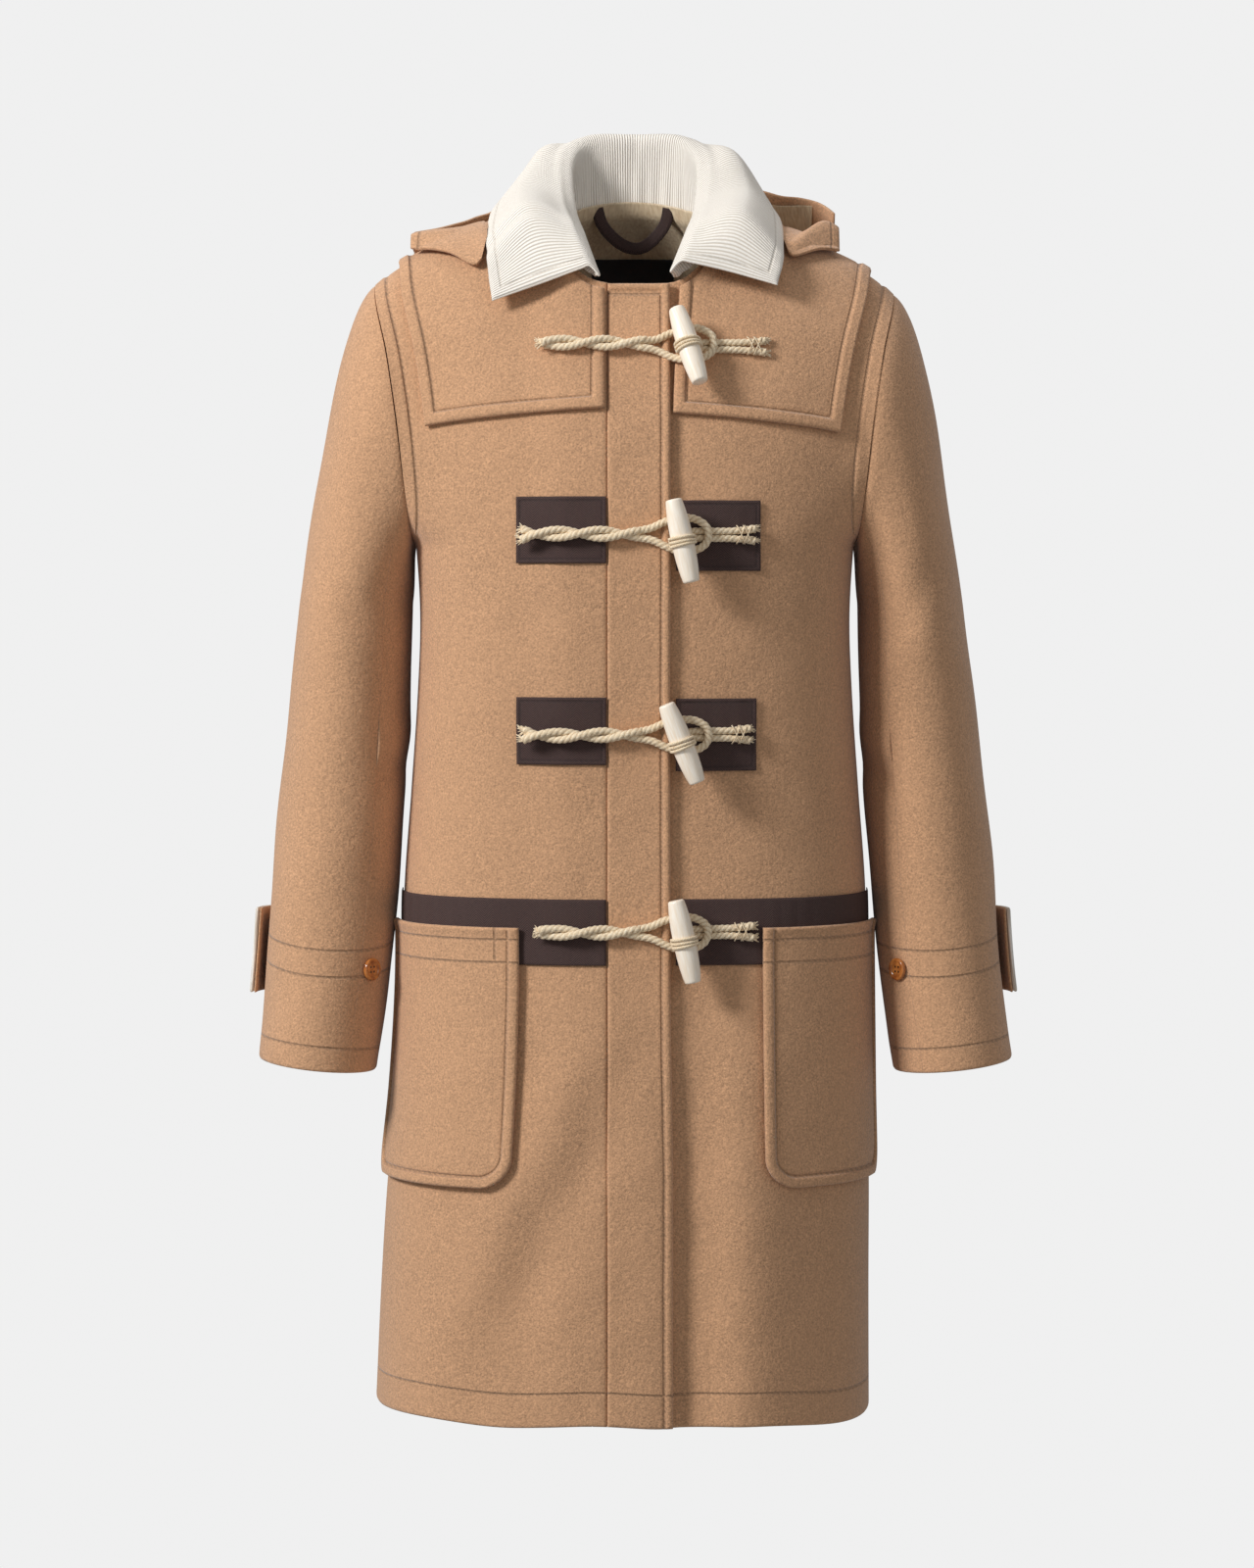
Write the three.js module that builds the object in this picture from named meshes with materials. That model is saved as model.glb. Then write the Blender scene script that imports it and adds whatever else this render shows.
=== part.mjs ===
// Duffle coat with toggles, corduroy collar, hood and storm yoke, in its worn shape.
// Millimetres, +Z up, -Y is the front, +X is the wearer's left.
// The origin is the middle of the neck base, where the wearer's shoulders carry the coat.

import * as THREE from 'three';

// Driving dimensions
const hemZ = -942;
const shoulderHalf = 209; // half width at the shoulder tips
const neckHalf = 68; // half width of the neck hole
const neckBack = 70; // how far the neck hole reaches back
const neckFrontZ = -46; // lowest point of the front neckline
const neckSideZ = 7; // height of the neckline on the shoulder
const neckRise = 40; // how far the virtual shoulder line rises to the middle
const shoulderRound = 85; // height over which the body rounds into the shoulder
const boxiness = 2.7; // exponent of the rounded body section
const cloth = 3; // melton wall
const seam = 0.3; // clearance at a seam
const armpitZ = -250;
const armholeMidZ = -150;
const armholeDepth = 45;

const overEdgeX = -22; // edge of the front that laps over
const underEdgeX = -30; // hidden edge of the front beneath
const overlapLift = 4; // how far the upper front is raised over the lower one
const placket = { left: -21.7, right: 27.5, inner: 0.7, outer: 5.2 };
const cuffZ = -672;
const sleeveStartZ = -300;

// Body sections: half width, front depth, back depth and sideways lean at each height
const bodySections = [
  { z: hemZ, half: 202, front: 148, back: 142, lean: -10 },
  { z: -850, half: 199.5, front: 142, back: 137, lean: -8 },
  { z: -761, half: 196.5, front: 138, back: 133, lean: -5 },
  { z: -690, half: 192, front: 134, back: 129, lean: -2 },
  { z: -610, half: 189, front: 128, back: 123, lean: 0 },
  { z: -532, half: 188, front: 124, back: 116, lean: 0 },
  { z: -450, half: 182, front: 122, back: 111, lean: 0 },
  { z: -370, half: 176.5, front: 125, back: 114, lean: 0 },
  { z: -310, half: 174.5, front: 126, back: 121, lean: 0 },
  { z: armpitZ, half: 178, front: 125, back: 125, lean: 0 },
  { z: -200, half: 184, front: 119, back: 126, lean: 0 },
  { z: -150, half: 190, front: 108, back: 124, lean: 0 },
  { z: -100, half: 198, front: 88, back: 118, lean: 0 },
  { z: -50, half: shoulderHalf, front: 68, back: 109, lean: 0 },
  { z: 0, half: shoulderHalf, front: 63, back: 105, lean: 0 },
  { z: 50, half: shoulderHalf, front: 61, back: 104, lean: 0 },
];

// Sleeve sections: where the outer and inner sides stand, half depth and middle
const sleeveSections = [
  { z: cuffZ, outerRight: 305, outerLeft: 306, inner: 210, depth: 59, mid: -33 },
  { z: -600, outerRight: 300, outerLeft: 297, inner: 200, depth: 62, mid: -20 },
  { z: -500, outerRight: 293.5, outerLeft: 291, inner: 190.5, depth: 66, mid: -6 },
  { z: -400, outerRight: 284, outerLeft: 280, inner: 184.5, depth: 70, mid: 2 },
  { z: sleeveStartZ, outerRight: 273.5, outerLeft: 267, inner: 181.5, depth: 74, mid: 4 },
];

// Collar by turn, 0 at the centre back and 1 at a front end: where the fold, the middle of
// the leaf and the leaf's edge lie on the wearer's right, and how much higher the left is
const collarSections = [
  { at: 0, foldX: 0, foldY: 78, foldZ: 87, midX: 0, midY: 99, midZ: 67, edgeX: 0, edgeY: 111, edgeZ: 26, rise: 0 },
  { at: 0.2, foldX: 38, foldY: 70, foldZ: 85, midX: 47, midY: 91, midZ: 69, edgeX: 54, edgeY: 104, edgeZ: 26, rise: 0 },
  { at: 0.4, foldX: 57, foldY: 44, foldZ: 67, midX: 79, midY: 57, midZ: 71, edgeX: 98, edgeY: 72, edgeZ: 32, rise: 0 },
  { at: 0.6, foldX: 56, foldY: 2, foldZ: 27, midX: 91, midY: 9, midZ: 38, edgeX: 117, edgeY: 6, edgeZ: 15, rise: 0 },
  { at: 0.8, foldX: 48, foldY: -47, foldZ: 1, midX: 86, midY: -49, midZ: 8, edgeX: 118, edgeY: -60, edgeZ: -27, rise: 3 },
  { at: 1, foldX: 36, foldY: -80, foldZ: -33, midX: 74, midY: -80, midZ: -47, edgeX: 113, edgeY: -82, edgeZ: -61, rise: 14 },
];

// Hood from the wearer's right to the left: the sheet's foot on the yoke, its lip, the trough,
// the nape where it turns down the back, its low point, the rear and the rim, each as [y, z]
const hoodSections = [
  { x: -181, foot: [-18, -14], lip: [-10, -3], trough: [6, -11], nape: [24, -13], low: [42, -19], rear: [57, -6], rim: [52, 5] },
  { x: -150, foot: [-38, -15], lip: [-14, 3], trough: [20, -2], nape: [50, -13], low: [80, -30], rear: [96, -10], rim: [84, 15] },
  { x: -127, foot: [-53, -23], lip: [-9, 9], trough: [34, 2], nape: [92, -34], low: [118, -64], rear: [138, -34], rim: [114, 26] },
  { x: -121.5, foot: [-26, -1], lip: [0, 8], trough: [38, 2], nape: [99, -38], low: [124, -78], rear: [143, -44], rim: [120, 30] },
  { x: -116.5, foot: [4, 6], lip: [12, 7], trough: [42, 1], nape: [103, -42], low: [127, -92], rear: [147, -52], rim: [124, 33] },
  { x: -85, foot: [20, 8.5], lip: [28, 8.5], trough: [66, -5], nape: [116, -66], low: [139, -170], rear: [166, -90], rim: [140, 44] },
  { x: -45, foot: [78, 11], lip: [86, 4], trough: [111, -30], nape: [129, -118], low: [147, -226], rear: [180, -118], rim: [150, 51] },
  { x: 0, foot: [96, 11], lip: [102, 2], trough: [114, -30], nape: [130, -120], low: [150, -238], rear: [185, -124], rim: [153, 53] },
  { x: 45, foot: [78, 11], lip: [86, 4], trough: [111, -30], nape: [129, -118], low: [147, -226], rear: [180, -116], rim: [148, 54] },
  { x: 85, foot: [20, 7], lip: [28, 6.5], trough: [66, -8], nape: [116, -68], low: [139, -170], rear: [168, -84], rim: [134, 52] },
  { x: 116.5, foot: [2, 2.5], lip: [10, 2.5], trough: [40, -4], nape: [103, -46], low: [127, -94], rear: [148, -44], rim: [116, 44] },
  { x: 121.5, foot: [-24, -5], lip: [-16, -2], trough: [26, -3], nape: [99, -42], low: [124, -80], rear: [144, -36], rim: [112, 42] },
  { x: 127, foot: [-46, -23], lip: [-38, -11], trough: [14, -2], nape: [92, -38], low: [118, -66], rear: [138, -28], rim: [107, 40] },
  { x: 150, foot: [-30, -17], lip: [-12, 8], trough: [20, -7], nape: [50, -19], low: [80, -34], rear: [98, -6], rim: [84, 34] },
  { x: 165, foot: [-20, -20], lip: [-8, 3], trough: [8, -13], nape: [26, -16], low: [47, -19], rear: [68, -1], rim: [58, 21] },
];

// Cubic through four neighbouring values, with t between the middle two
function cubic(a, b, c, d, t) {
  const bend = (3 * (b - c) + d - a) * t + 2 * a - 5 * b + 4 * c - d;
  return b + 0.5 * t * (c - a + t * bend);
}

// A smooth value between evenly spaced entries of a list, at a place from 0 to its last index
function between(list, pick, place) {
  const i = Math.min(list.length - 2, Math.max(0, Math.floor(place)));
  const at = (k) => pick(list[Math.min(list.length - 1, Math.max(0, k))]);
  return cubic(at(i - 1), at(i), at(i + 1), at(i + 2), place - i);
}

// A column of a table of rising keys, on a cubic whose slopes come from the rows around it
function column(table, name, key, value) {
  const last = table.length - 1;
  const v = Math.min(table[last][key], Math.max(table[0][key], value));
  let i = 0;
  while (i < last - 1 && v > table[i + 1][key]) i += 1;
  const slope = (k) => {
    const a = table[Math.max(0, k - 1)];
    const b = table[Math.min(last, k + 1)];
    return (b[name] - a[name]) / (b[key] - a[key]);
  };
  const step = table[i + 1][key] - table[i][key];
  const t = (v - table[i][key]) / step;
  const smooth = t * t * (3 - 2 * t);
  const ends = table[i][name] * (1 - smooth) + table[i + 1][name] * smooth;
  const bends = slope(i) * t * (1 - t) * (1 - t) - slope(i + 1) * t * t * (1 - t);
  return ends + bends * step;
}

const body = (name, z) => column(bodySections, name, 'z', z);
const clamp01 = (v) => Math.min(1, Math.max(0, v));
const ease = (a, b, v) => {
  const t = clamp01((v - a) / (b - a));
  return t * t * (3 - 2 * t);
};
const mix = (a, b, t) => a + (b - a) * t;
const bell = (v, middle, width) => Math.exp(-(((v - middle) / width) ** 2));
const steps = (n, from = 0, to = 1) => Array.from({ length: n + 1 }, (_, i) => mix(from, to, i / n));
const vec = (x, y, z) => new THREE.Vector3(x, y, z);

// Body surface
// Height of the shoulder line at a share X of the shoulder half width
function shoulderZ(X) {
  const r = Math.abs(X) * shoulderHalf - neckHalf;
  const tilt = -0.018 * X * shoulderHalf;
  if (r < 0) return neckSideZ + neckRise * (1 - ((r + neckHalf) / neckHalf) ** 2) + tilt;
  return neckSideZ - 0.2 * r - 26 * (r / 142) ** 4 + tilt;
}

// Turn over the shoulder for a drop below the shoulder line, and the reverse
const turnOf = (drop) => (drop < shoulderRound
  ? Math.acos(1 - Math.max(0, drop) / shoulderRound)
  : Math.PI / 2 + (drop - shoulderRound) / shoulderRound);
const dropOf = (turn) => (turn < Math.PI / 2
  ? shoulderRound * (1 - Math.cos(turn))
  : shoulderRound * (1 + turn - Math.PI / 2));

// Turn at which a column of the front or back ends at the neckline or the shoulder
function topTurn(face, X) {
  const share = Math.min(1, Math.abs(X) * shoulderHalf / neckHalf);
  if (share >= 1) return 0;
  if (face > 0) return Math.asin(neckBack * Math.sqrt(1 - share * share) / 105);
  const z = mix(neckFrontZ, neckSideZ, share ** 4) - 0.018 * X * shoulderHalf;
  return turnOf(shoulderZ(X) - z);
}

// Soft folds pressed into the skirts, outward positive
function folds(face, x, z) {
  const low = ease(-480, -800, z);
  if (face > 0) {
    return low * (5 * bell(x, -70, 34) - 5 * bell(x, -8, 40) + 6 * bell(x, 78, 36)
      - 3 * bell(x, 140, 26) - 3 * bell(x, -132, 28));
  }
  const slant = x + 92 - (z + 760) * 0.28;
  const besideFront = 6 * bell(x, 92, 30) - 7 * bell(x, 52, 22);
  return low * (besideFront - 2 * bell(x, 150, 24))
    + 4.5 * bell(slant, 0, 20) * bell(z, -790, 120) - 3 * bell(slant, 34, 18) * bell(z, -800, 110);
}

// Point on the outside of the body: X is the share of the half width, turn runs down from
// the shoulder line. Depth = edge + (depth - edge) * (1 - X^n)^(1/n), rounded off above.
function bodyPoint(face, X, turn) {
  const z = shoulderZ(X) - dropOf(turn);
  const below = clamp01((armholeMidZ - z) / (armholeMidZ - armpitZ));
  const open = Math.sqrt(1 - below * below) * X ** 6;
  const share = Math.min(1, Math.abs(X) * (1 - 0.05 * open));
  const round = (1 - share ** boxiness) ** (1 / boxiness);
  const edge = armholeDepth * open;
  const depth = body(face < 0 ? 'front' : 'back', z);
  const over = turn < Math.PI / 2 ? Math.sin(turn) : 1;
  const x = body('lean', z) + X * body('half', z);
  const fold = folds(face, x, z) * (1 - share ** 8);
  const y = (edge + (depth - edge) * round) * over + fold + seam / 2;
  return vec(x, face * y, z);
}

// The same point given by its real x and z
function bodyAt(face, x, z) {
  let X = (x - body('lean', z)) / body('half', z);
  for (let i = 0; i < 3; i += 1) {
    const turn = turnOf(shoulderZ(X) - z);
    X += (x - bodyPoint(face, X, turn).x) / body('half', z);
  }
  X = Math.min(1, Math.max(-1, X));
  return bodyPoint(face, X, turnOf(shoulderZ(X) - z));
}

// How far the upper front is lifted where it laps over the lower one
const lapLift = (x) => overlapLift * ease(-92, -50, x);

// Solids from grids
// Normals of a surface at its grid points. Differences are taken just beside each point, and
// inward at the borders. All point to the side of pole, a rough outward direction.
function normalsOf(point, us, vs, pole) {
  const step = 0.001;
  const near = (list, k) => (
    [k > 0 ? list[k] - step : list[k], k < list.length - 1 ? list[k] + step : list[k]]);
  let side = 0;
  const normals = vs.map((v, j) => us.map((u, i) => {
    const [u0, u1] = near(us, i);
    const [v0, v1] = near(vs, j);
    const n = point(u1, v).sub(point(u0, v)).normalize();
    n.cross(point(u, v1).sub(point(u, v0)).normalize()).normalize();
    side += n.dot(pole(point(u, v)));
    return n;
  }));
  if (side < 0) normals.flat().forEach((n) => n.negate());
  return normals;
}

// A closed wall whose two faces are a grid of points moved out by two distances
function wall({ point, us, vs, inner, outer, pole, fix }) {
  const grid = vs.map((v) => us.map((u) => point(u, v)));
  const normals = normalsOf(point, us, vs, pole);
  if (fix) normals.forEach((row, j) => row.forEach((n, i) => fix(n, us[i], vs[j])));
  const value = (amount, i, j) => (typeof amount === 'function' ? amount(us[i], vs[j]) : amount);
  const layer = (amount) => grid.flatMap((row, j) => row.map((p, i) => (
    p.clone().addScaledVector(normals[j][i], value(amount, i, j)))));
  return sheet(layer(outer), layer(inner), us.length, vs.length);
}

// A closed solid between two layers of points, with its rim
function sheet(top, bottom, cols, rows) {
  const count = cols * rows;
  const at = (i, j) => j * cols + i;
  const faces = [];
  const quad = (a, b, c, d) => faces.push(a, b, c, a, c, d);
  for (let j = 0; j < rows - 1; j += 1) {
    for (let i = 0; i < cols - 1; i += 1) {
      const ring = [at(i, j), at(i + 1, j), at(i + 1, j + 1), at(i, j + 1)];
      quad(...ring);
      const [a, b, c, d] = ring.map((k) => k + count);
      faces.push(a, c, b, a, d, c);
    }
  }
  const rim = [];
  for (let i = 0; i < cols - 1; i += 1) rim.push(at(i, 0));
  for (let j = 0; j < rows - 1; j += 1) rim.push(at(cols - 1, j));
  for (let i = cols - 1; i > 0; i -= 1) rim.push(at(i, rows - 1));
  for (let j = rows - 1; j > 0; j -= 1) rim.push(at(0, j));
  rim.forEach((a, k) => {
    const b = rim[(k + 1) % rim.length];
    quad(b, a, a + count, b + count);
  });
  return solid([...top, ...bottom], faces);
}

// Geometry from points and faces, turned so that its faces point out
function solid(points, faces) {
  let volume = 0;
  for (let k = 0; k < faces.length; k += 3) {
    const [a, b, c] = [points[faces[k]], points[faces[k + 1]], points[faces[k + 2]]];
    volume += a.dot(b.clone().cross(c));
  }
  const order = volume < 0 ? faces.toReversed() : faces;
  const geometry = new THREE.BufferGeometry();
  const numbers = points.flatMap((p) => [p.x, p.y, p.z]);
  geometry.setAttribute('position', new THREE.Float32BufferAttribute(numbers, 3));
  geometry.setIndex(order);
  geometry.computeVertexNormals();
  return geometry;
}

// A closed rod of oval section along points, each with its own upward direction
function rod(path, wide, thick, sides) {
  const points = [];
  const faces = [];
  path.forEach(({ p, up }, k) => {
    const before = path[Math.max(0, k - 1)].p;
    const after = path[Math.min(path.length - 1, k + 1)].p;
    const along = after.clone().sub(before).normalize();
    const across = along.clone().cross(up).normalize();
    const out = across.clone().cross(along).normalize();
    for (let s = 0; s < sides; s += 1) {
      const turn = 2 * Math.PI * (s + 0.5) / sides;
      points.push(p.clone()
        .addScaledVector(across, wide / 2 * Math.cos(turn))
        .addScaledVector(out, thick / 2 * Math.sin(turn)));
    }
  });
  for (let k = 0; k < path.length - 1; k += 1) {
    for (let s = 0; s < sides; s += 1) {
      const t = (s + 1) % sides;
      const [a, b, c, d] = [k * sides + s, k * sides + t, (k + 1) * sides + t, (k + 1) * sides + s];
      faces.push(a, b, c, a, c, d);
    }
  }
  const last = (path.length - 1) * sides;
  for (let s = 1; s < sides - 1; s += 1) {
    faces.push(0, s + 1, s);
    faces.push(last, last + s, last + s + 1);
  }
  return solid(points, faces);
}

// Colours from the photographed cloth
const finish = {
  camel: { color: 0xc89a72, roughness: 0.95 },
  corduroy: { color: 0xf1ebe0, roughness: 0.92 },
  satin: { color: 0xc9b28c, roughness: 0.5 },
  twill: { color: 0x3a2624, roughness: 0.85 },
  black: { color: 0x151517, roughness: 0.7 },
  rope: { color: 0xdcc5a0, roughness: 0.9 },
  wood: { color: 0xe8d6ba, roughness: 0.45 },
  horn: { color: 0xa8642c, roughness: 0.25 },
};
const coat = new THREE.Group();
coat.name = 'duffle_coat';

function add(name, geometry, look) {
  const material = new THREE.MeshStandardMaterial({ ...finish[look], metalness: 0 });
  const mesh = new THREE.Mesh(geometry, material);
  mesh.name = name;
  coat.add(mesh);
  return mesh;
}

// Rounded columns: equal steps of the angle whose sine gives the share of the half width
const shareOf = (angle) => Math.sign(angle) * Math.abs(Math.sin(angle)) ** (2 / boxiness);
const angleOf = (X) => Math.sign(X) * Math.asin(Math.min(1, Math.abs(X)) ** (boxiness / 2));
const outward = (face) => (p) => vec(p.x * 0.5, face * 60, 0);

// At the side and shoulder seams a wall is cut in the plane that the two pieces meet in
function flatAtSeams(X, turn) {
  return (n) => {
    if (turn < 1e-6) n.y = 0;
    if (Math.abs(X) > 0.9999 && shoulderZ(X) - dropOf(turn) < armpitZ + 1) n.y = 0;
    n.normalize();
  };
}

// Rows of the body panels: levels up to 1 divide the turn from the neckline or shoulder to
// the armpit, and each further whole level is one of the heights below it
const upperLevels = [0, 0.07, 0.14, 0.21, 0.28, 0.36, 0.45, 0.58, 0.72, 0.86, 1];
const lowerZs = [armpitZ, -310, -370, -430, -490, -555, -620, -690, -761, -850, hemZ];
const bodyLevels = [...upperLevels, ...lowerZs.slice(1).map((_, k) => k + 2)];

function levelTurn(face, X, level) {
  const armpit = turnOf(shoulderZ(X) - armpitZ);
  if (level <= 1) return mix(topTurn(face, X), armpit, level);
  const k = Math.min(lowerZs.length - 2, Math.floor(level - 1));
  return turnOf(shoulderZ(X) - mix(lowerZs[k], lowerZs[k + 1], level - 1 - k));
}
function levelOf(face, X, z) {
  if (z > armpitZ) {
    const top = topTurn(face, X);
    return (turnOf(shoulderZ(X) - z) - top) / (turnOf(shoulderZ(X) - armpitZ) - top);
  }
  const k = Math.min(lowerZs.length - 2, lowerZs.findIndex((low) => low <= z + 1e-9) - 1);
  return 1 + Math.max(0, k) + (lowerZs[Math.max(0, k)] - z) / (lowerZs[Math.max(0, k)] - lowerZs[Math.max(0, k) + 1]);
}
// A level moved down by a gap at the top of its column, and not at all from the next row on
function lowered(level, gap) {
  const until = upperLevels[gap < 0.06 ? 1 : 2];
  return level < until ? mix(gap, until, level / until) : level;
}
// Whole rows of the body between two levels, with the two levels themselves
const levelsWithin = (a, b) => [a, ...bodyLevels.filter((l) => l > a + 0.02 && l < b - 0.02), b];

// Fronts: u runs from the front edge to the side seam, with columns at the neck's corner
const neckShares = [0, 0.22, 0.46, 0.68, 0.87, 0.965, 1];
const frontEdge = { right: { side: -1, x: overEdgeX, lift: lapLift }, left: { side: 1, x: underEdgeX, lift: () => 0 } };

function frontShare({ side, x }, u, level) {
  let X = shareOf(mix(angleOf(x / shoulderHalf), side * Math.PI / 2, u));
  for (let k = 0; k < 2; k += 1) {
    const z = shoulderZ(X) - dropOf(levelTurn(-1, X, level));
    X = shareOf(mix(angleOf((x - body('lean', z)) / body('half', z)), side * Math.PI / 2, u));
  }
  return X;
}
function frontPoint(front, u, level) {
  const X = frontShare(front, u, level);
  const p = bodyPoint(-1, X, levelTurn(-1, X, level));
  p.y -= front.lift(p.x);
  return p;
}
// The column of a front that passes through a real x at a height
function columnAt({ side, x }, realX, z) {
  const angle = (v) => angleOf((v - body('lean', z)) / body('half', z));
  return (angle(realX) - angle(x)) / (side * Math.PI / 2 - angle(x));
}

const frontColumns = {};
Object.entries(frontEdge).forEach(([name, front]) => {
  const neck = neckShares.map((share) => columnAt(front, front.side * share * neckHalf, 0));
  frontColumns[name] = [0, ...neck.filter((u) => u > 0.02), ...steps(8, neck[neck.length - 1], 1).slice(1)];
});
const columnsWithin = (name, a, b) => (
  [a, ...frontColumns[name].filter((u) => u > a + 0.015 && u < b - 0.015), b]);

Object.entries(frontEdge).forEach(([name, front]) => add(`front_${name}`, wall({
  point: (u, level) => frontPoint(front, u, level),
  us: frontColumns[name],
  vs: bodyLevels,
  inner: -cloth,
  outer: 0,
  pole: outward(-1),
  fix: (n, u, level) => {
    const X = frontShare(front, u, level);
    flatAtSeams(X, levelTurn(-1, X, level))(n);
  },
}), 'camel'));

// Back in one piece
const backShare = (u) => shareOf(mix(-Math.PI / 2, Math.PI / 2, u));
const backColumnOf = (X) => 0.5 + angleOf(X) / Math.PI;
const backNeck = neckShares.slice(1).map((share) => backColumnOf(share * neckHalf / shoulderHalf));
const backHalf = [...backNeck, ...steps(6, backNeck[backNeck.length - 1], 1).slice(1)];
const backColumns = [...backHalf.map((u) => 1 - u).reverse(), 0.5, ...backHalf];
const backPoint = (u, level) => bodyPoint(1, backShare(u), levelTurn(1, backShare(u), level));
add('back_panel', wall({
  point: backPoint,
  us: backColumns,
  vs: bodyLevels,
  inner: -cloth,
  outer: 0,
  pole: outward(1),
  fix: (n, u, level) => flatAtSeams(backShare(u), levelTurn(1, backShare(u), level))(n),
}), 'camel');

// A piece laid on the front or back between straight edges given by real x and z
function laid({ face, left, right, top, bottom, inner, outer, us, lift = () => 0 }) {
  const middle = (left + right) / 2 / shoulderHalf;
  const point = (u, level) => {
    const x = mix(left, right, u);
    let X = x / shoulderHalf;
    for (let k = 0; k < 3; k += 1) {
      const z = shoulderZ(X) - dropOf(levelTurn(face, X, level));
      X = (x - body('lean', z)) / body('half', z);
    }
    const p = bodyPoint(face, X, levelTurn(face, X, level));
    p.y += face * lift(p.x);
    return p;
  };
  const vs = levelsWithin(levelOf(face, middle, top), levelOf(face, middle, bottom));
  return wall({ point, us, vs, inner, outer, pole: outward(face) });
}

add('placket', laid({
  face: -1,
  top: neckFrontZ - 1,
  bottom: hemZ,
  us: steps(3),
  ...placket,
}), 'camel');

// Storm yoke: two front flaps and a back, meeting along the shoulders. A column of a flap ends
// at the neckline or shoulder above and at a slanted edge below.
const yoke = { inner: 1, outer: 4, shoulderX: 189, lastLevel: 0.45, beside: 0.02 };
const neckGapLevel = (face, X) => 0.03 * ease(neckHalf + 20, neckHalf + 4, Math.abs(X) * shoulderHalf)
  + (face < 0 ? 0.08 : 0.02) * bell(Math.abs(X) * shoulderHalf, neckHalf, 4);
const yokeRows = [...upperLevels.filter((l) => l <= yoke.lastLevel), 0.7, 1];

function yokeLevel(face, X, row, bottom) {
  const { lastLevel } = yoke;
  if (row > lastLevel) return mix(lastLevel, levelOf(face, X, bottom), (row - lastLevel) / (1 - lastLevel));
  return lowered(row, neckGapLevel(face, X));
}

// The yoke lies a little higher over the corner of the neck, where the panels bend most
const cornerLift = (X, row) => 2 * bell(Math.abs(X) * shoulderHalf, neckHalf + 6, 18) * ease(0.16, 0.08, row);

const flaps = [
  { name: 'right', from: -24, to: -165, bottomInner: -147, bottomOuter: -160 },
  { name: 'left', from: 32, to: 161, bottomInner: -151, bottomOuter: -165 },
];
const margin = 0.1; // share of a flap's columns between its last whole one and its slanted edge
flaps.forEach(({ name, from, to, bottomInner, bottomOuter }) => {
  const front = frontEdge[name];
  const first = columnAt(front, from, -100);
  const wide = columnAt(front, front.side * yoke.shoulderX, -30);
  const low = columnAt(front, to, bottomOuter);
  const corner = columnAt(front, front.side * neckHalf, 0);
  const whole = columnsWithin(name, first, low).map((u) => (Math.abs(u - corner) < 0.001 ? u + yoke.beside : u));
  const last = whole[whole.length - 2];
  const place = (u, row) => {
    const column = u > 1 - margin
      ? mix(last, mix(wide, low, row), (u - 1 + margin) / margin)
      : mix(first, last, u / (1 - margin));
    const X = frontShare(front, column, Math.min(row, 0.6));
    const level = yokeLevel(-1, X, row, mix(bottomInner, bottomOuter, u));
    return { column, level };
  };
  add(`yoke_front_${name}`, wall({
    point: (u, row) => {
      const { column, level } = place(u, row);
      return frontPoint(front, column, level);
    },
    us: [...whole.slice(0, -1).map((c) => (1 - margin) * (c - first) / (last - first)), 1],
    vs: yokeRows,
    inner: (u, row) => yoke.inner + cornerLift(frontShare(front, place(u, row).column, 0), row),
    outer: (u, row) => yoke.outer + cornerLift(frontShare(front, place(u, row).column, 0), row),
    pole: outward(-1),
    fix: (n, u, row) => {
      const { column, level } = place(u, row);
      if (levelTurn(-1, frontShare(front, column, level), level) < 1e-6) n.y = 0;
      n.normalize();
    },
  }), 'camel');
});

// The back yoke's outer columns are slanted in the same way on both sides
const yokeBackZ = -170;
const yokeWide = backColumnOf(yoke.shoulderX / shoulderHalf);
const yokeLow = backColumnOf(172 / body('half', yokeBackZ));
const yokeInner = backColumns.filter((u) => u > 1.02 - yokeLow && u < yokeLow - 0.02);
function yokeBackPlace(u, row) {
  const last = yokeInner[yokeInner.length - 1];
  const beyond = (share) => mix(last, mix(yokeWide, yokeLow, row), share / margin);
  let column = mix(1 - last, last, clamp01(u));
  if (u > 1) column = beyond(u - 1);
  if (u < 0) column = 1 - beyond(-u);
  const X = backShare(column);
  return { X, level: yokeLevel(1, X, row, yokeBackZ) };
}
add('yoke_back', wall({
  point: (u, row) => {
    const { X, level } = yokeBackPlace(u, row);
    return bodyPoint(1, X, levelTurn(1, X, level));
  },
  us: [-margin, ...yokeInner.map((c) => (c - yokeInner[0]) / (1 - 2 * yokeInner[0])), 1 + margin],
  vs: yokeRows,
  inner: yoke.inner,
  outer: yoke.outer,
  pole: outward(1),
  fix: (n, u, row) => {
    const { X, level } = yokeBackPlace(u, row);
    if (levelTurn(1, X, level) < 1e-6) n.y = 0;
    n.normalize();
  },
}), 'camel');

// Lining that shows inside the neck: it covers the upper back from the neck seam down
add('back_lining', wall({
  point: (u, level) => {
    const X = backShare(u);
    return bodyPoint(1, X, levelTurn(1, X, lowered(level, 0.02)));
  },
  us: backColumns.slice(3, -3),
  vs: upperLevels,
  inner: -cloth - 1.95,
  outer: -cloth - 0.95,
  pole: outward(1),
}), 'satin');

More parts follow.
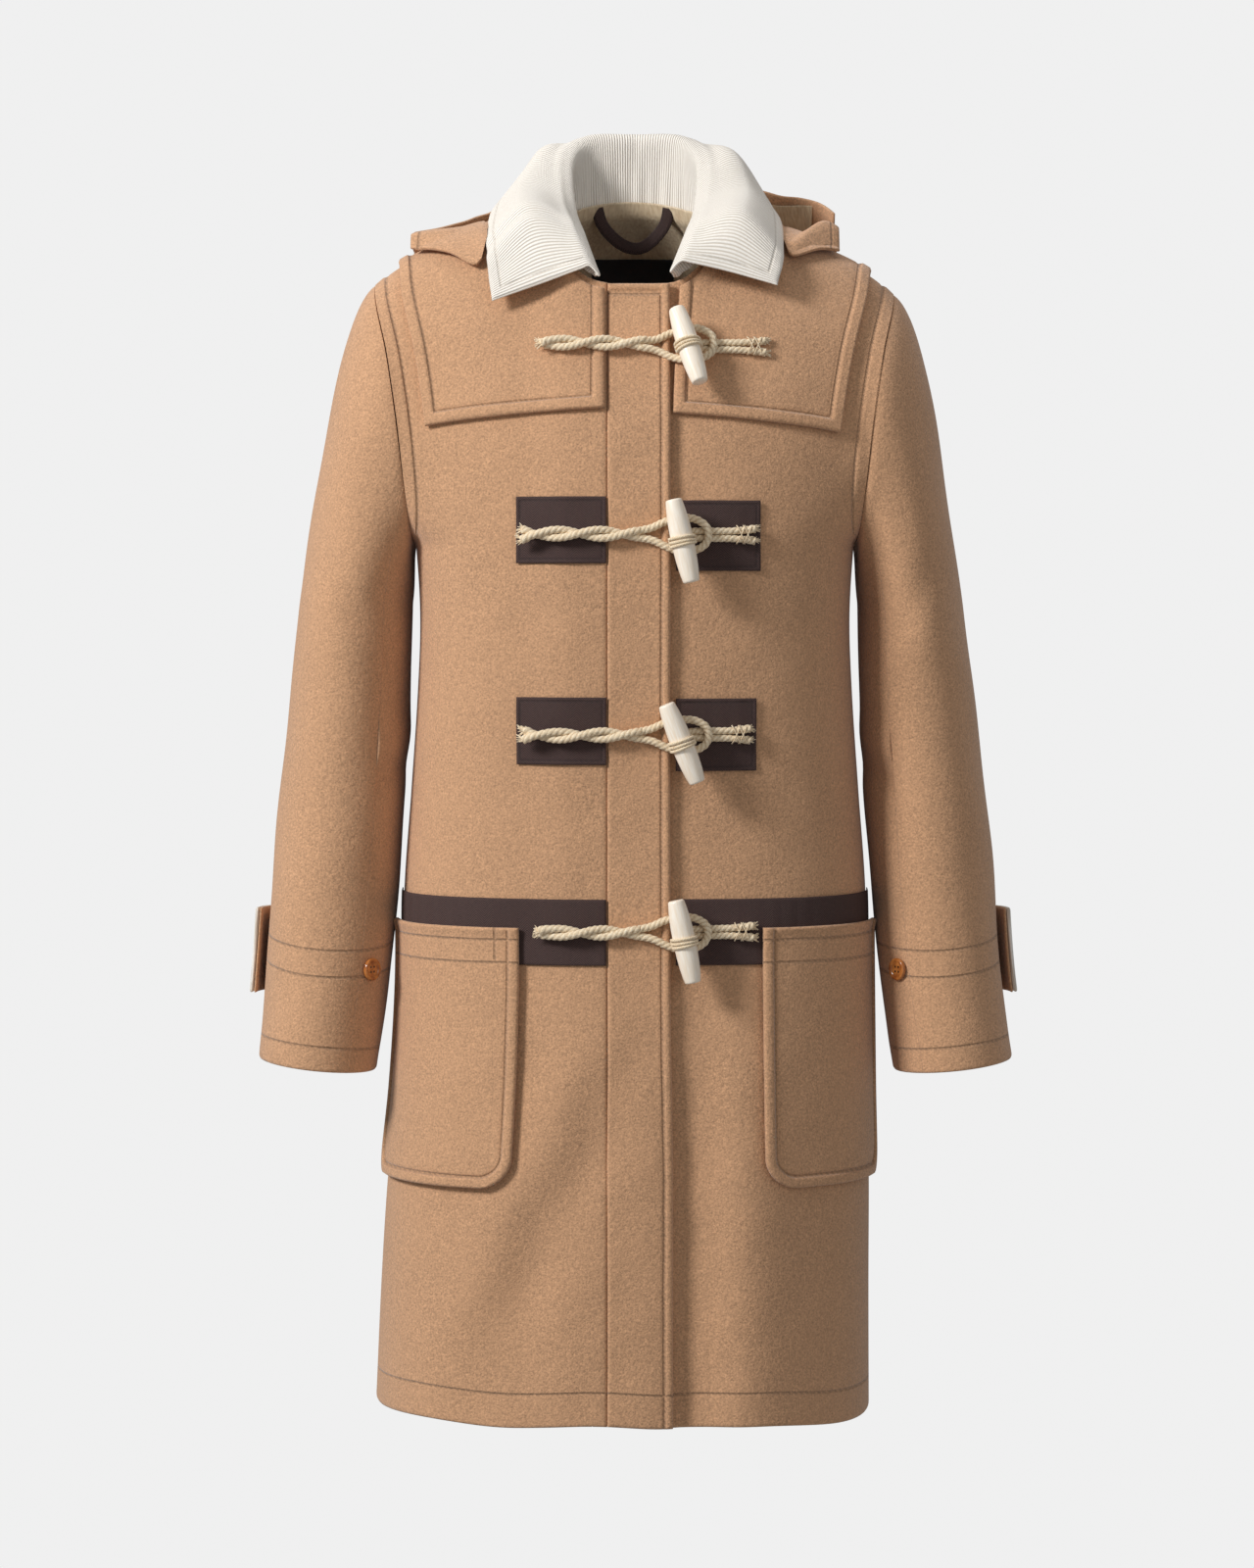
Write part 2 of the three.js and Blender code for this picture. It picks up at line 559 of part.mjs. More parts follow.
// Collar
// Neck seam by turn s, -1 at the wearer's right front end and 1 at the left front end
const collarTurn = Math.PI - Math.asin(neckShares[2]);
function neckSeam(s) {
  const angle = Math.PI + s * collarTurn;
  const X = -neckHalf * Math.sin(angle) / shoulderHalf;
  const face = Math.cos(angle) < 0 ? 1 : -1;
  const p = bodyPoint(face, X, topTurn(face, X));
  if (X < 0 && face < 0) p.y -= lapLift(p.x);
  return p.add(vec(0, 0, 4));
}

const collarAt = (name, turn) => column(collarSections, name, 'at', turn);
const collarWall = 2.4;

function collarPoint(s, t) {
  const turn = Math.abs(s);
  const side = s < 0 ? -1 : 1;
  const rise = s > 0 ? collarAt('rise', turn) : 0;
  const spot = (name, lift) => vec(
    side * collarAt(`${name}X`, turn),
    collarAt(`${name}Y`, turn),
    collarAt(`${name}Z`, turn) + lift,
  );
  const base = neckSeam(s);
  const fold = spot('fold', rise * 0.25);
  const mid = spot('mid', rise * 0.75);
  const edge = spot('edge', rise);
  const inward = vec(base.x, base.y, 0).normalize().multiplyScalar(-collarWall / 2 - 0.5);
  base.add(inward);
  const out = mid.clone().sub(fold).setZ(0).normalize();
  const radius = 6;
  const before = fold.clone().addScaledVector(out, -radius).add(vec(0, 0, -radius));
  const after = fold.clone().addScaledVector(out, radius).add(vec(0, 0, -radius * 0.4));
  const stand = base.clone().lerp(before, 0.5);
  const spots = [base, stand, before, fold, after, mid, edge];
  const at = (k) => between(spots, (q) => q.getComponent(k), t * (spots.length - 1));
  return vec(at(0), at(1), at(2));
}

// Columns at the panels' own columns round the neck
const quarter = Math.PI / 2 / collarTurn;
const backTurns = neckShares.slice(1).map((share) => Math.asin(share) / collarTurn);
const frontTurns = backTurns.slice(1, -1).map((turn) => 2 * quarter - turn).reverse();
const collarColumns = [...backTurns, ...frontTurns];

add('collar', wall({
  point: collarPoint,
  us: [...collarColumns.map((s) => -s).reverse(), 0, ...collarColumns],
  vs: [0, 0.16, 0.33, 0.42, 0.5, 0.58, 0.68, 0.78, 0.89, 1],
  inner: -collarWall / 2,
  outer: collarWall / 2,
  pole: () => vec(0, 0, 1),
}), 'corduroy');

// Hood, hanging open at the back: u runs from the wearer's right to the left in table rows,
// t along the sheet from the foot over the lip and the trough up to the rim
const hoodClear = { front: 10.6, back: 14 };
const hoodNames = ['foot', 'lip', 'trough', 'nape', 'low', 'rear', 'rim'];
function hoodPoint(u, t) {
  const placed = (name) => [0, 1].map((k) => between(hoodSections, (row) => row[name][k], u));
  const [foot, lip, trough, nape, low, rear, rim] = hoodNames.map(placed);
  const x = between(hoodSections, (row) => row.x, u);
  const ends = ease(80, 118, Math.abs(x));
  const wide = Math.min(mix(11, 13, ends), (rear[0] - nape[0]) * mix(0.22, 0.27, ends));
  const beside = (side) => [low[0] + side * wide, low[1] + wide * mix(1.2, 0.7, ends)];
  const spots = [foot, lip, trough, nape, beside(-1), low, beside(1), rear, rim].map(([y, z]) => ({ y, z, far: 0 }));
  spots.slice(1).forEach((spot, k) => {
    spot.far = spots[k].far + Math.hypot(spot.y - spots[k].y, spot.z - spots[k].z);
  });
  const k = Math.min(spots.length - 2, Math.floor(t));
  const far = mix(spots[k].far, spots[k + 1].far, t - k);
  const p = vec(x, column(spots, 'y', 'far', far), column(spots, 'z', 'far', far));
  return clearOfBody(p, mix(hoodClear.front, hoodClear.back, ease(40, 80, p.y)));
}

// Moves a point out until it lies clear of the body, in its own upright section
function clearOfBody(p, clearance) {
  const face = p.y < 0 ? -1 : 1;
  const X = Math.max(-1, Math.min(1, (p.x - body('lean', p.z)) / body('half', p.z)));
  const place = (turn) => bodyPoint(face, X, turn).setX(p.x);
  let turn = 0;
  steps(90, 0, 4.5).forEach((t) => {
    if (place(t).distanceTo(p) < place(turn).distanceTo(p)) turn = t;
  });
  const along = place(turn + 0.02).sub(place(turn - 0.02)).normalize();
  const out = vec(0, -face * along.z, face * along.y);
  const now = p.clone().sub(place(turn)).dot(out);
  return now < clearance ? p.addScaledVector(out, clearance - now) : p;
}
const hoodPole = (p) => vec(0, 0, p.z < -60 ? 1 : 0);
const hoodSheet = { cloth: 2.8, liningGap: 0.5, lining: 0.8 };
add('hood', wall({
  point: hoodPoint,
  us: [0, 0.5, 1, 1.5, 2, 3, 4, 4.5, 5, 5.5, 6, 6.5, 7, 7.5, 8, 8.5, 9, 9.5, 10, 11, 12, 12.5, 13, 13.5, 14],
  vs: [...steps(12, 0, 6), 6.33, 6.67, 7, 7.5, 8],
  inner: -hoodSheet.cloth / 2,
  outer: hoodSheet.cloth / 2,
  pole: hoodPole,
}), 'camel');
add('hood_lining', wall({
  point: hoodPoint,
  us: [1, 1.5, 2, 3, 4, 4.5, 5, 5.5, 6, 6.5, 7, 7.5, 8, 8.5, 9, 9.5, 10, 11, 12, 12.5, 13],
  vs: [6, 6.33, 6.67, 7, 7.5, 7.9],
  inner: hoodSheet.cloth / 2 + hoodSheet.liningGap,
  outer: hoodSheet.cloth / 2 + hoodSheet.liningGap + hoodSheet.lining,
  pole: () => vec(0, -1, 0),
}), 'satin');

// Sleeves
const radians = THREE.MathUtils.degToRad;
const sleeve = (name, z) => column(sleeveSections, name, 'z', z);
const sleeveSides = { right: -1, left: 1 };
const capShare = 0.45; // share of the sleeve's length parameter spent above the tube
const sleeveOuter = (side, z) => sleeve(side < 0 ? 'outerRight' : 'outerLeft', z);
const sleeveMiddleX = (side, z) => side * (sleeveOuter(side, z) + sleeve('inner', z)) / 2;

// Armhole edge of the body, with angle 90 at the shoulder tip, 0 in front, -90 in the armpit
function armholeEdge(side, angle) {
  const top = shoulderZ(side);
  const z = mix(armpitZ, top, (1 + Math.sin(radians(angle))) / 2);
  const face = Math.cos(radians(angle)) > 0 ? -1 : 1;
  return bodyPoint(face, side, turnOf(top - z));
}

function sleeveRing(side, angle, z) {
  const half = (sleeveOuter(side, z) - sleeve('inner', z)) / 2;
  const across = half * Math.sin(radians(angle));
  const rise = 0.11 * ease(sleeveStartZ, cuffZ, z) * across;
  const y = sleeve('mid', z) - sleeve('depth', z) * Math.cos(radians(angle));
  return vec(sleeveMiddleX(side, z) + side * across, y, z + rise);
}

// Sleeve surface: w runs from the armhole (0) over the cap to the cuff (1)
function sleevePoint(side, angle, w) {
  if (w >= capShare) return sleeveRing(side, angle, mix(sleeveStartZ, cuffZ, (w - capShare) / (1 - capShare)));
  const t = w / capShare;
  const high = (1 + Math.sin(radians(angle))) / 2;
  const start = armholeEdge(side, angle).add(vec(side * 0.9, 0, 0));
  const end = sleeveRing(side, angle, sleeveStartZ);
  const leave = vec(side * mix(0.25, 0.84, high), -0.25 * Math.cos(radians(angle)), -mix(1, 0.54, high));
  leave.setLength(mix(30, 100, high));
  const arrive = vec(side * 0.15, 0, -1).setLength(start.distanceTo(end) * 1.15);
  const [t2, t3] = [t * t, t * t * t];
  return start.multiplyScalar(2 * t3 - 3 * t2 + 1)
    .addScaledVector(leave, t3 - 2 * t2 + t)
    .addScaledVector(end, 3 * t2 - 2 * t3)
    .addScaledVector(arrive, t3 - t2);
}
const sleevePole = (side) => (p) => vec(
  p.x - sleeveMiddleX(side, Math.min(p.z, sleeveStartZ)), p.y - 3, Math.max(0, p.z + 180));
const sleeveRows = [0, 0.045, 0.1, 0.17, 0.25, 0.34, 0.45, 0.56, 0.67, 0.78, 0.89, 1];
const sleeveSeams = { front: -35, back: 215, gap: 0.3 };

Object.entries(sleeveSides).forEach(([name, side]) => {
  const piece = (from, to, count) => wall({
    point: (angle, w) => sleevePoint(side, angle, w),
    us: steps(count, from + sleeveSeams.gap, to - sleeveSeams.gap),
    vs: sleeveRows,
    inner: -cloth,
    outer: 0,
    pole: sleevePole(side),
  });
  add(`sleeve_top_${name}`, piece(sleeveSeams.front, sleeveSeams.back, 14), 'camel');
  add(`sleeve_under_${name}`, piece(sleeveSeams.back, sleeveSeams.front + 360, 6), 'camel');
});

// Cuff tabs: sewn at the back of the sleeve, their free end stands off the outer side
const tab = { top: -552, bottom: -621, sewnAt: 165, freeAt: 82, off: 6, wool: 2.6, corduroy: 2 };
const tubeShare = (z) => capShare + (1 - capShare) * (z - sleeveStartZ) / (cuffZ - sleeveStartZ);
Object.entries(sleeveSides).forEach(([name, side]) => {
  const layer = (from, thick) => {
    const stand = (angle) => mix(0.8, tab.off, ((tab.sewnAt - angle) / (tab.sewnAt - tab.freeAt)) ** 2);
    return wall({
      point: (angle, w) => sleevePoint(side, angle, w),
      us: steps(6, tab.sewnAt, tab.freeAt),
      vs: steps(2, tubeShare(tab.top), tubeShare(tab.bottom)),
      inner: (angle) => stand(angle) + from,
      outer: (angle) => stand(angle) + from + thick,
      pole: sleevePole(side),
    });
  };
  add(`cuff_tab_${name}`, layer(0, tab.wool), 'camel');
  add(`cuff_tab_facing_${name}`, layer(tab.wool + seam, tab.corduroy), 'corduroy');
});

// A turned piece from half its outline, stood at a point with its axis along a direction
function turned(outline, segments, place, axis) {
  const profile = outline.map(([r, h]) => new THREE.Vector2(r, h));
  const geometry = new THREE.LatheGeometry(profile, segments);
  const turn = new THREE.Quaternion().setFromUnitVectors(vec(0, 1, 0), axis.clone().normalize());
  geometry.applyQuaternion(turn);
  geometry.translate(place.x, place.y, place.z);
  return geometry;
}

// Cuff buttons on the front of the sleeves
const button = { radius: 9, thick: 3.6, angle: -46, z: -590 };
Object.entries(sleeveSides).forEach(([name, side]) => {
  const w = tubeShare(button.z);
  const at = (da, dw) => sleevePoint(side, button.angle + da, w + dw);
  const out = at(8, 0).sub(at(-8, 0)).cross(at(0, 0.01).sub(at(0, -0.01))).normalize();
  if (out.y > 0) out.negate();
  const { radius: r, thick: h } = button;
  const outline = [[0, 0], [r - 1.2, 0], [r, 1.2], [r, h - 0.8], [r - 1, h], [r - 2.6, h - 0.9], [0, h - 0.9]];
  add(`cuff_button_${name}`, turned(outline, 14, at(0, 0).addScaledVector(out, 0.3), out), 'horn');
});

// A piece laid on a front from a real x to a share of the way to the side seam
function wrapped({ front, from, to, top, bottom, inner, outer, us = [], vs, inset = () => 0 }) {
  const first = columnAt(front, from, (top + bottom) / 2);
  const point = (u, v) => {
    const z = mix(top, bottom, v);
    const narrow = inset(v) / 230;
    return frontPoint(front, mix(first + narrow, to - narrow, u), levelOf(-1, 0.5 * front.side, z));
  };
  const name = front.side < 0 ? 'right' : 'left';
  const inward = columnsWithin(name, first, to).map((c) => (c - first) / (to - first));
  const extra = us.filter((u) => !inward.includes(u));
  const whole = inward.filter((u) => extra.every((e) => Math.abs(u - e) > 0.02));
  const all = [...whole, ...extra].sort((a, b) => a - b);
  return wall({ point, us: all, vs, inner, outer, pole: outward(-1) });
}

// Waist bands from the fronts' edges to the side seams
const band = { top: -532, bottom: -584, inner: 0.9, outer: 2.1, to: 0.995 };
const bandRows = [0, (band.top + 555) / (band.top - band.bottom), 1];
add('waist_band_right', wrapped({ front: frontEdge.right, from: -22.6, vs: bandRows, ...band }), 'twill');
add('waist_band_left', wrapped({ front: frontEdge.left, from: 32, vs: bandRows, ...band }), 'twill');

// Patch pockets, with a raised edge and cut lower corners
const pocket = { top: -555, bottom: -761, inner: 2.7, outer: 6.4, welt: 1.2, corner: 24, to: 0.93 };
const onEdge = (u, v) => u < 0.08 || u > 0.92 || v > 0.94 || v < 0.06;
const pocketPiece = (front, from) => wrapped({
  front,
  from,
  us: [0, 0.07, 0.09, 0.91, 0.93, 1],
  vs: [0, 0.05, 0.07, 65 / 206, 135 / 206, 0.87, 0.935, 0.95, 1],
  inset: (v) => pocket.corner * clamp01((v - 0.87) / 0.13) ** 1.3,
  ...pocket,
  outer: (u, v) => pocket.outer + (onEdge(u, v) ? pocket.welt : 0),
});
add('pocket_right', pocketPiece(frontEdge.right, -92), 'camel');
add('pocket_left', pocketPiece(frontEdge.left, 100), 'camel');

// Fastenings: each has a rope loop on the right front and a toggle on a rope on the left
const fastenings = [
  { z: -98, from: -78, to: 107, toggleX: 42, slant: 14, under: 4.3, lapped: 8.3 },
  { z: -246, from: -91, to: 97.5, toggleX: 37, slant: 11.5, under: 2.3, lapped: 6.3 },
  { z: -402, from: -90, to: 94, toggleX: 37, slant: 20.5, under: 2.3, lapped: 6.3 },
  { z: -558, from: -78.5, to: 97, toggleX: 37, slant: 11.6, under: 2.4, lapped: 6.4 },
];

// Patches under the middle two fastenings
const patch = { inner: 0.8, outer: 2 };
const patches = [
  { name: 'patch_upper_right', left: -93, right: -22.6, top: -216, bottom: -268, lift: lapLift },
  { name: 'patch_lower_right', left: -93, right: -22.6, top: -373, bottom: -426, lift: lapLift },
  { name: 'patch_upper_left', left: 32, right: 98, top: -219, bottom: -274, lift: () => 0 },
  { name: 'patch_lower_left', left: 32, right: 95, top: -374, bottom: -431, lift: () => 0 },
];
patches.forEach(({ name, ...edges }) => add(name, laid({ face: -1, us: steps(4), ...edges, ...patch }), 'twill'));

const rope = { thick: 5, apart: 2.7, flatWide: 9.5, flatThick: 4 };
const toggleHalf = 31;
const toggleOutline = [
  [0, -toggleHalf], [4.6, -toggleHalf], [5.8, -toggleHalf + 1], [7.5, -13], [8.3, -4.6], [9.5, -3.4],
  [9.5, 3.4], [8.3, 4.6], [7.5, 13], [5.8, toggleHalf - 1], [4.6, toggleHalf], [0, toggleHalf],
];

fastenings.forEach(({ z, from, to, toggleX, slant, under, lapped }, k) => {
  const number = k + 1;
  const over = (x, dz, height) => {
    const up = bodyAt(-1, x + 5, z + dz).sub(bodyAt(-1, x - 5, z + dz));
    up.cross(bodyAt(-1, x, z + dz + 5).sub(bodyAt(-1, x, z + dz - 5))).normalize();
    if (up.y > 0) up.negate();
    return { p: bodyAt(-1, x, z + dz).addScaledVector(up, height), up };
  };
  const half = rope.thick / 2 + 0.5;
  const onFlap = lapped + half;
  const onPlacket = placket.outer + half;
  const cordTop = under + 0.5 + rope.flatThick;
  const high = Math.max(onPlacket, cordTop + half);
  // Loop: x from the toggle's middle on its right part, height over the body
  const eye = [
    [-28, 6.5, onPlacket], [-16, 13, onPlacket + 0.2], [-3, 16.3, high - 0.4], [8, 12.5, high],
    [14.5, 1, high + 0.2], [11, -10, high], [1, -16, high - 0.4], [-11, -14.5, onPlacket + 0.2],
    [-23, -7.5, onPlacket],
  ].map(([dx, dz, h]) => over(toggleX + dx, dz, h));
  const strand = (side) => [
    over(from, side * rope.apart, onFlap),
    over(-52, side * rope.apart, onFlap),
    over(-30, side * rope.apart, onFlap - 0.2),
    over(-14, side * rope.apart, Math.max(onPlacket, onFlap - 1.4)),
    over(-1, side * rope.apart, onPlacket),
  ];
  add(`loop_cord_${number}`, rod([...strand(1), ...eye, ...strand(-1).reverse()], rope.thick, rope.thick, 6), 'rope');

  const flat = under + 0.5 + rope.flatThick / 2;
  const axisHeight = high + rope.thick / 2 + 0.3 + 8;
  const route = [
    over(to, 0, flat),
    over(toggleX + 38, 0, flat),
    over(toggleX + 14, 0, flat),
    over(toggleX + 6, 0, flat + 1.2),
    over(toggleX + 1.5, 0, axisHeight - 9.5 - 1.1),
  ];
  add(`toggle_cord_${number}`, rod(route, rope.flatWide, rope.flatThick, 6), 'rope');

  const lean = radians(slant);
  const reach = (far) => over(toggleX + far * Math.sin(lean), -far * Math.cos(lean), axisHeight).p;
  const axis = reach(20).sub(reach(-20));
  const place = reach(0);
  add(`toggle_${number}`, turned(toggleOutline, 10, place, axis), 'wood');
});

// Hanger loop and blank neck label inside the back of the neck
const hangerSpots = [
  [-31, 55.4, 25], [-27, 55.2, 12], [-17, 55.5, 0], [-5, 58, -7], [6, 58, -7], [16, 56, 0],
  [25, 56.2, 12], [28, 55.9, 25],
];
add('hanger_loop', rod(hangerSpots.map(([x, y, z]) => ({ p: vec(x, y, z), up: vec(0, -1, 0) })), 10, 1.4, 4), 'twill');
add('neck_label', laid({
  face: 1,
  left: -37,
  right: neckHalf / 2,
  top: -11,
  bottom: -57,
  inner: -7.1,
  outer: -6.1,
  us: [0, ...[-0.46, -0.22, 0, 0.22, 0.46].map((share) => (share * neckHalf + 37) / 71), 1],
}), 'black');

export default coat;
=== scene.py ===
# A duffle coat in its worn shape. Lengths in the tables are millimetres, +Z up, -Y the front,
# +xPart the wearer's left. The surfaces are worked out as grids and built as thin closed walls.
from math import pi, radians
import bpy
import numpy as np
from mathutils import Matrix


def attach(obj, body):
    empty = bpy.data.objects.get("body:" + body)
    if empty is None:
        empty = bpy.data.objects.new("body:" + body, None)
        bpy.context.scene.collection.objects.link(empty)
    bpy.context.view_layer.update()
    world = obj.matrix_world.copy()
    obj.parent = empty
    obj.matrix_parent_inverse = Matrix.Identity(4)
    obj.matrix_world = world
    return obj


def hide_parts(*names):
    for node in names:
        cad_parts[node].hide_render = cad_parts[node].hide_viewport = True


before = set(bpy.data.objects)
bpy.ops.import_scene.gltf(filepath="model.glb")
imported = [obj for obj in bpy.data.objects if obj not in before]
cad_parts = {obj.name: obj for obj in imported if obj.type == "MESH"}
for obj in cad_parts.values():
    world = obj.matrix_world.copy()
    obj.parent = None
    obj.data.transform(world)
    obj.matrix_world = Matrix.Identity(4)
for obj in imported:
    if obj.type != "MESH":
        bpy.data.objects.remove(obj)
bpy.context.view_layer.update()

scene = bpy.context.scene

# Camera, level with the lower chest and tipped down 3 degrees
cameraData = bpy.data.cameras.new("camera")
cameraData.sensor_fit = "VERTICAL"
cameraData.sensor_height = 36
cameraData.lens = 90
camera = bpy.data.objects.new("camera", cameraData)
camera.location = (-0.0064, -3.2, -0.28)
camera.rotation_euler = (radians(87), 0, 0)
scene.collection.objects.link(camera)
scene.camera = camera

# Body
shape = {
    "shoulderHalf": 209, "neckHalf": 68, "neckBack": 70, "neckFrontZ": -46, "neckSideZ": 7, "neckRise": 40,
    "round": 85, "boxiness": 2.7, "armpitZ": -250, "armholeMidZ": -150, "armholeDepth": 45, "hemZ": -942,
}
shoulderHalf = shape["shoulderHalf"]
# Height, half width, front depth, back depth and sideways lean of each section
bodyTable = np.array([
    [-942, 202, 148, 142, -10], [-850, 199.5, 142, 137, -8], [-761, 196.5, 138, 133, -5],
    [-690, 192, 134, 129, -2], [-610, 189, 128, 123, 0], [-532, 188, 124, 116, 0],
    [-450, 182, 122, 111, 0], [-370, 176.5, 125, 114, 0], [-310, 174.5, 126, 121, 0],
    [-250, 178, 125, 125, 0], [-200, 184, 119, 126, 0], [-150, 190, 108, 124, 0],
    [-100, 198, 88, 118, 0], [-50, 209, 68, 109, 0], [0, 209, 63, 105, 0], [50, 209, 61, 104, 0],
], float)
lowerZs = np.array([-250, -310, -370, -430, -490, -555, -620, -690, -761, -850, -942], float)


# Smooth column: a cubic through rising keys with slopes from the rows around
def column(keys, values, at):
    last = len(keys) - 1
    at = np.clip(at, keys[0], keys[last])
    i = np.clip(np.searchsorted(keys, at, side="left") - 1, 0, last - 1)
    low, high = np.maximum(np.arange(last + 1) - 1, 0), np.minimum(np.arange(last + 1) + 1, last)
    slope = (values[high] - values[low]) / (keys[high] - keys[low])
    step = keys[i + 1] - keys[i]
    t = (at - keys[i]) / step
    smooth = t * t * (3 - 2 * t)
    ends = values[i] * (1 - smooth) + values[i + 1] * smooth
    return ends + (slope[i] * t * (1 - t) ** 2 - slope[i + 1] * t * t * (1 - t)) * step


# Smooth value between evenly spaced entries, along the first axis of a list
def between(values, place):
    values = np.asarray(values, float)
    last = len(values) - 1
    i = np.clip(np.floor(place).astype(int), 0, last - 1)
    a, b, c, d = (values[np.clip(i + k, 0, last)] for k in (-1, 0, 1, 2))
    t = (place - i).reshape(place.shape + (1,) * (values.ndim - 1))
    return b + 0.5 * t * (c - a + t * (2 * a - 5 * b + 4 * c - d + t * (3 * (b - c) + d - a)))


def body(k, z):
    return column(bodyTable[:, 0], bodyTable[:, k], z)


def mix(a, b, t):
    return a + (b - a) * t


def ease(a, b, v):
    t = np.clip((v - a) / (b - a), 0, 1)
    return t * t * (3 - 2 * t)


def bell(v, middle, width):
    return np.exp(-(((v - middle) / width) ** 2))


def stack(x, y, z):
    return np.stack(np.broadcast_arrays(x, y, z), axis=-1).astype(float)


def length(v):
    return np.linalg.norm(v, axis=-1)


def sine(degrees):
    return np.sin(np.radians(degrees))


def cosine(degrees):
    return np.cos(np.radians(degrees))


def ripple(turn):
    return 0.5 + 0.5 * np.sin(turn)


def unit(v):
    return v / np.maximum(length(v), 1e-9)[..., None]


# Shoulder line: rises in a parabola inside the neck, falls in a fourth power outside it
def shoulderZ(xPart):
    r = np.abs(xPart) * shoulderHalf - shape["neckHalf"]
    inside = shape["neckSideZ"] + shape["neckRise"] * (1 - ((r + 68) / 68) ** 2)
    outside = shape["neckSideZ"] - 0.2 * r - 26 * (np.maximum(r, 0) / 142) ** 4
    return np.where(r < 0, inside, outside) - 0.018 * xPart * shoulderHalf


def turnOf(drop):
    r = shape["round"]
    return np.where(drop < r, np.arccos(np.clip(1 - drop / r, 0, 1)), pi / 2 + (drop - r) / r)


def dropOf(turn):
    return shape["round"] * np.where(turn < pi / 2, 1 - np.cos(turn), 1 + turn - pi / 2)


def topTurn(face, xPart):
    share = np.minimum(1, np.abs(xPart) * shoulderHalf / shape["neckHalf"])
    if face > 0:
        return np.arcsin(shape["neckBack"] * np.sqrt(1 - share**2) / 105)
    z = mix(shape["neckFrontZ"], shape["neckSideZ"], share**4) - 0.018 * xPart * shoulderHalf
    return np.where(share < 1, turnOf(shoulderZ(xPart) - z), 0)


# Skirt folds: sums of bells across the cloth, growing downwards
def folds(face, x, z):
    low = ease(-480, -800, z)
    if face > 0:
        return low * (5 * bell(x, -70, 34) - 5 * bell(x, -8, 40) + 6 * bell(x, 78, 36)
                      - 3 * bell(x, 140, 26) - 3 * bell(x, -132, 28))
    slant = x + 92 - (z + 760) * 0.45
    return (low * (6 * bell(x, 92, 30) - 7 * bell(x, 52, 22) - 2 * bell(x, 150, 24))
            + 5 * bell(slant, 0, 26) * bell(z, -770, 120) - 4 * bell(slant, 44, 26) * bell(z, -780, 110)
            - 4 * bell(x, 34, 13) * ease(-600, -760, z))


# Small unevenness of hanging cloth: a sum of slow waves
def unevenness(face, x, z):
    return 0.5 * (np.sin(x * 0.047 + z * 0.019 + face) * np.sin(z * 0.031 - x * 0.011)
                  + 0.7 * np.sin(x * 0.083 - z * 0.041 + 2) * np.sin(z * 0.067 + 1)) * ease(-60, -140, z)


# Body surface: depth = edge + (depth - edge) * (1 - xPart^n)^(1/n), rounded off over the shoulder
def bodyPoint(face, xPart, turn):
    xPart, turn = np.broadcast_arrays(np.asarray(xPart, float), np.asarray(turn, float))
    z = shoulderZ(xPart) - dropOf(turn)
    below = np.clip((shape["armholeMidZ"] - z) / (shape["armholeMidZ"] - shape["armpitZ"]), 0, 1)
    opened = np.sqrt(1 - below**2) * xPart**6
    share = np.minimum(1, np.abs(xPart) * (1 - 0.05 * opened))
    rounded = (1 - share ** shape["boxiness"]) ** (1 / shape["boxiness"])
    edge = shape["armholeDepth"] * opened
    depth = body(2 if face < 0 else 3, z)
    over = np.where(turn < pi / 2, np.sin(turn), 1)
    x = body(4, z) + xPart * body(1, z)
    fold = (folds(face, x, z) + unevenness(face, x, z)) * (1 - share**8)
    hem = (5 + 6 * ease(40, 190, x) + 1.5 * np.sin(x * 0.045)) * ease(-800, shape["hemZ"], z)
    return stack(x, face * ((edge + (depth - edge) * rounded) * over + fold + 0.15), z - hem)


def bodyAt(face, x, z):
    xPart = (x - body(4, z)) / body(1, z)
    xPart = np.clip(xPart, -1, 1)
    return bodyPoint(face, xPart, turnOf(shoulderZ(xPart) - z))


def lapLift(x):
    return 4 * ease(-92, -50, x)


def shareOf(angle):
    return np.sign(angle) * np.abs(np.sin(angle)) ** (2 / shape["boxiness"])


def angleOf(xPart):
    return np.sign(xPart) * np.arcsin(np.minimum(1, np.abs(xPart)) ** (shape["boxiness"] / 2))


# Rows: levels up to 1 run from the neck or shoulder to the armpit, the others down to the hem
def levelTurn(face, xPart, level):
    armpit = turnOf(shoulderZ(xPart) - shape["armpitZ"])
    z = np.interp(level, np.arange(1, 12), lowerZs)
    upper = mix(topTurn(face, xPart), armpit, np.minimum(level, 1))
    return np.where(level <= 1, upper, turnOf(shoulderZ(xPart) - z))


def levelOf(face, xPart, z):
    top = topTurn(face, xPart)
    upper = (turnOf(shoulderZ(xPart) - z) - top) / (turnOf(shoulderZ(xPart) - shape["armpitZ"]) - top)
    return np.where(z > shape["armpitZ"], upper, np.interp(-z, -lowerZs, np.arange(1, 12)))


edges = {"right": {"side": -1, "x": -22}, "left": {"side": 1, "x": -30}}


def frontShare(front, u, level):
    side, x = front["side"], front["x"]
    xPart = shareOf(mix(angleOf(x / shoulderHalf), side * pi / 2, u))
    for _ in range(2):
        z = shoulderZ(xPart) - dropOf(levelTurn(-1, xPart, level))
        xPart = shareOf(mix(angleOf((x - body(4, z)) / body(1, z)), side * pi / 2, u))
    return xPart


def frontPoint(front, u, level):
    u, level = np.broadcast_arrays(u, level)
    xPart = frontShare(front, u, level)
    p = bodyPoint(-1, xPart, levelTurn(-1, xPart, level))
    if front["side"] < 0:
        p[..., 1] -= lapLift(p[..., 0])
    return p


def columnAt(front, realX, z):
    def angle(v):
        return angleOf((v - body(4, z)) / body(1, z))
    return (angle(realX) - angle(front["x"])) / (front["side"] * pi / 2 - angle(front["x"]))


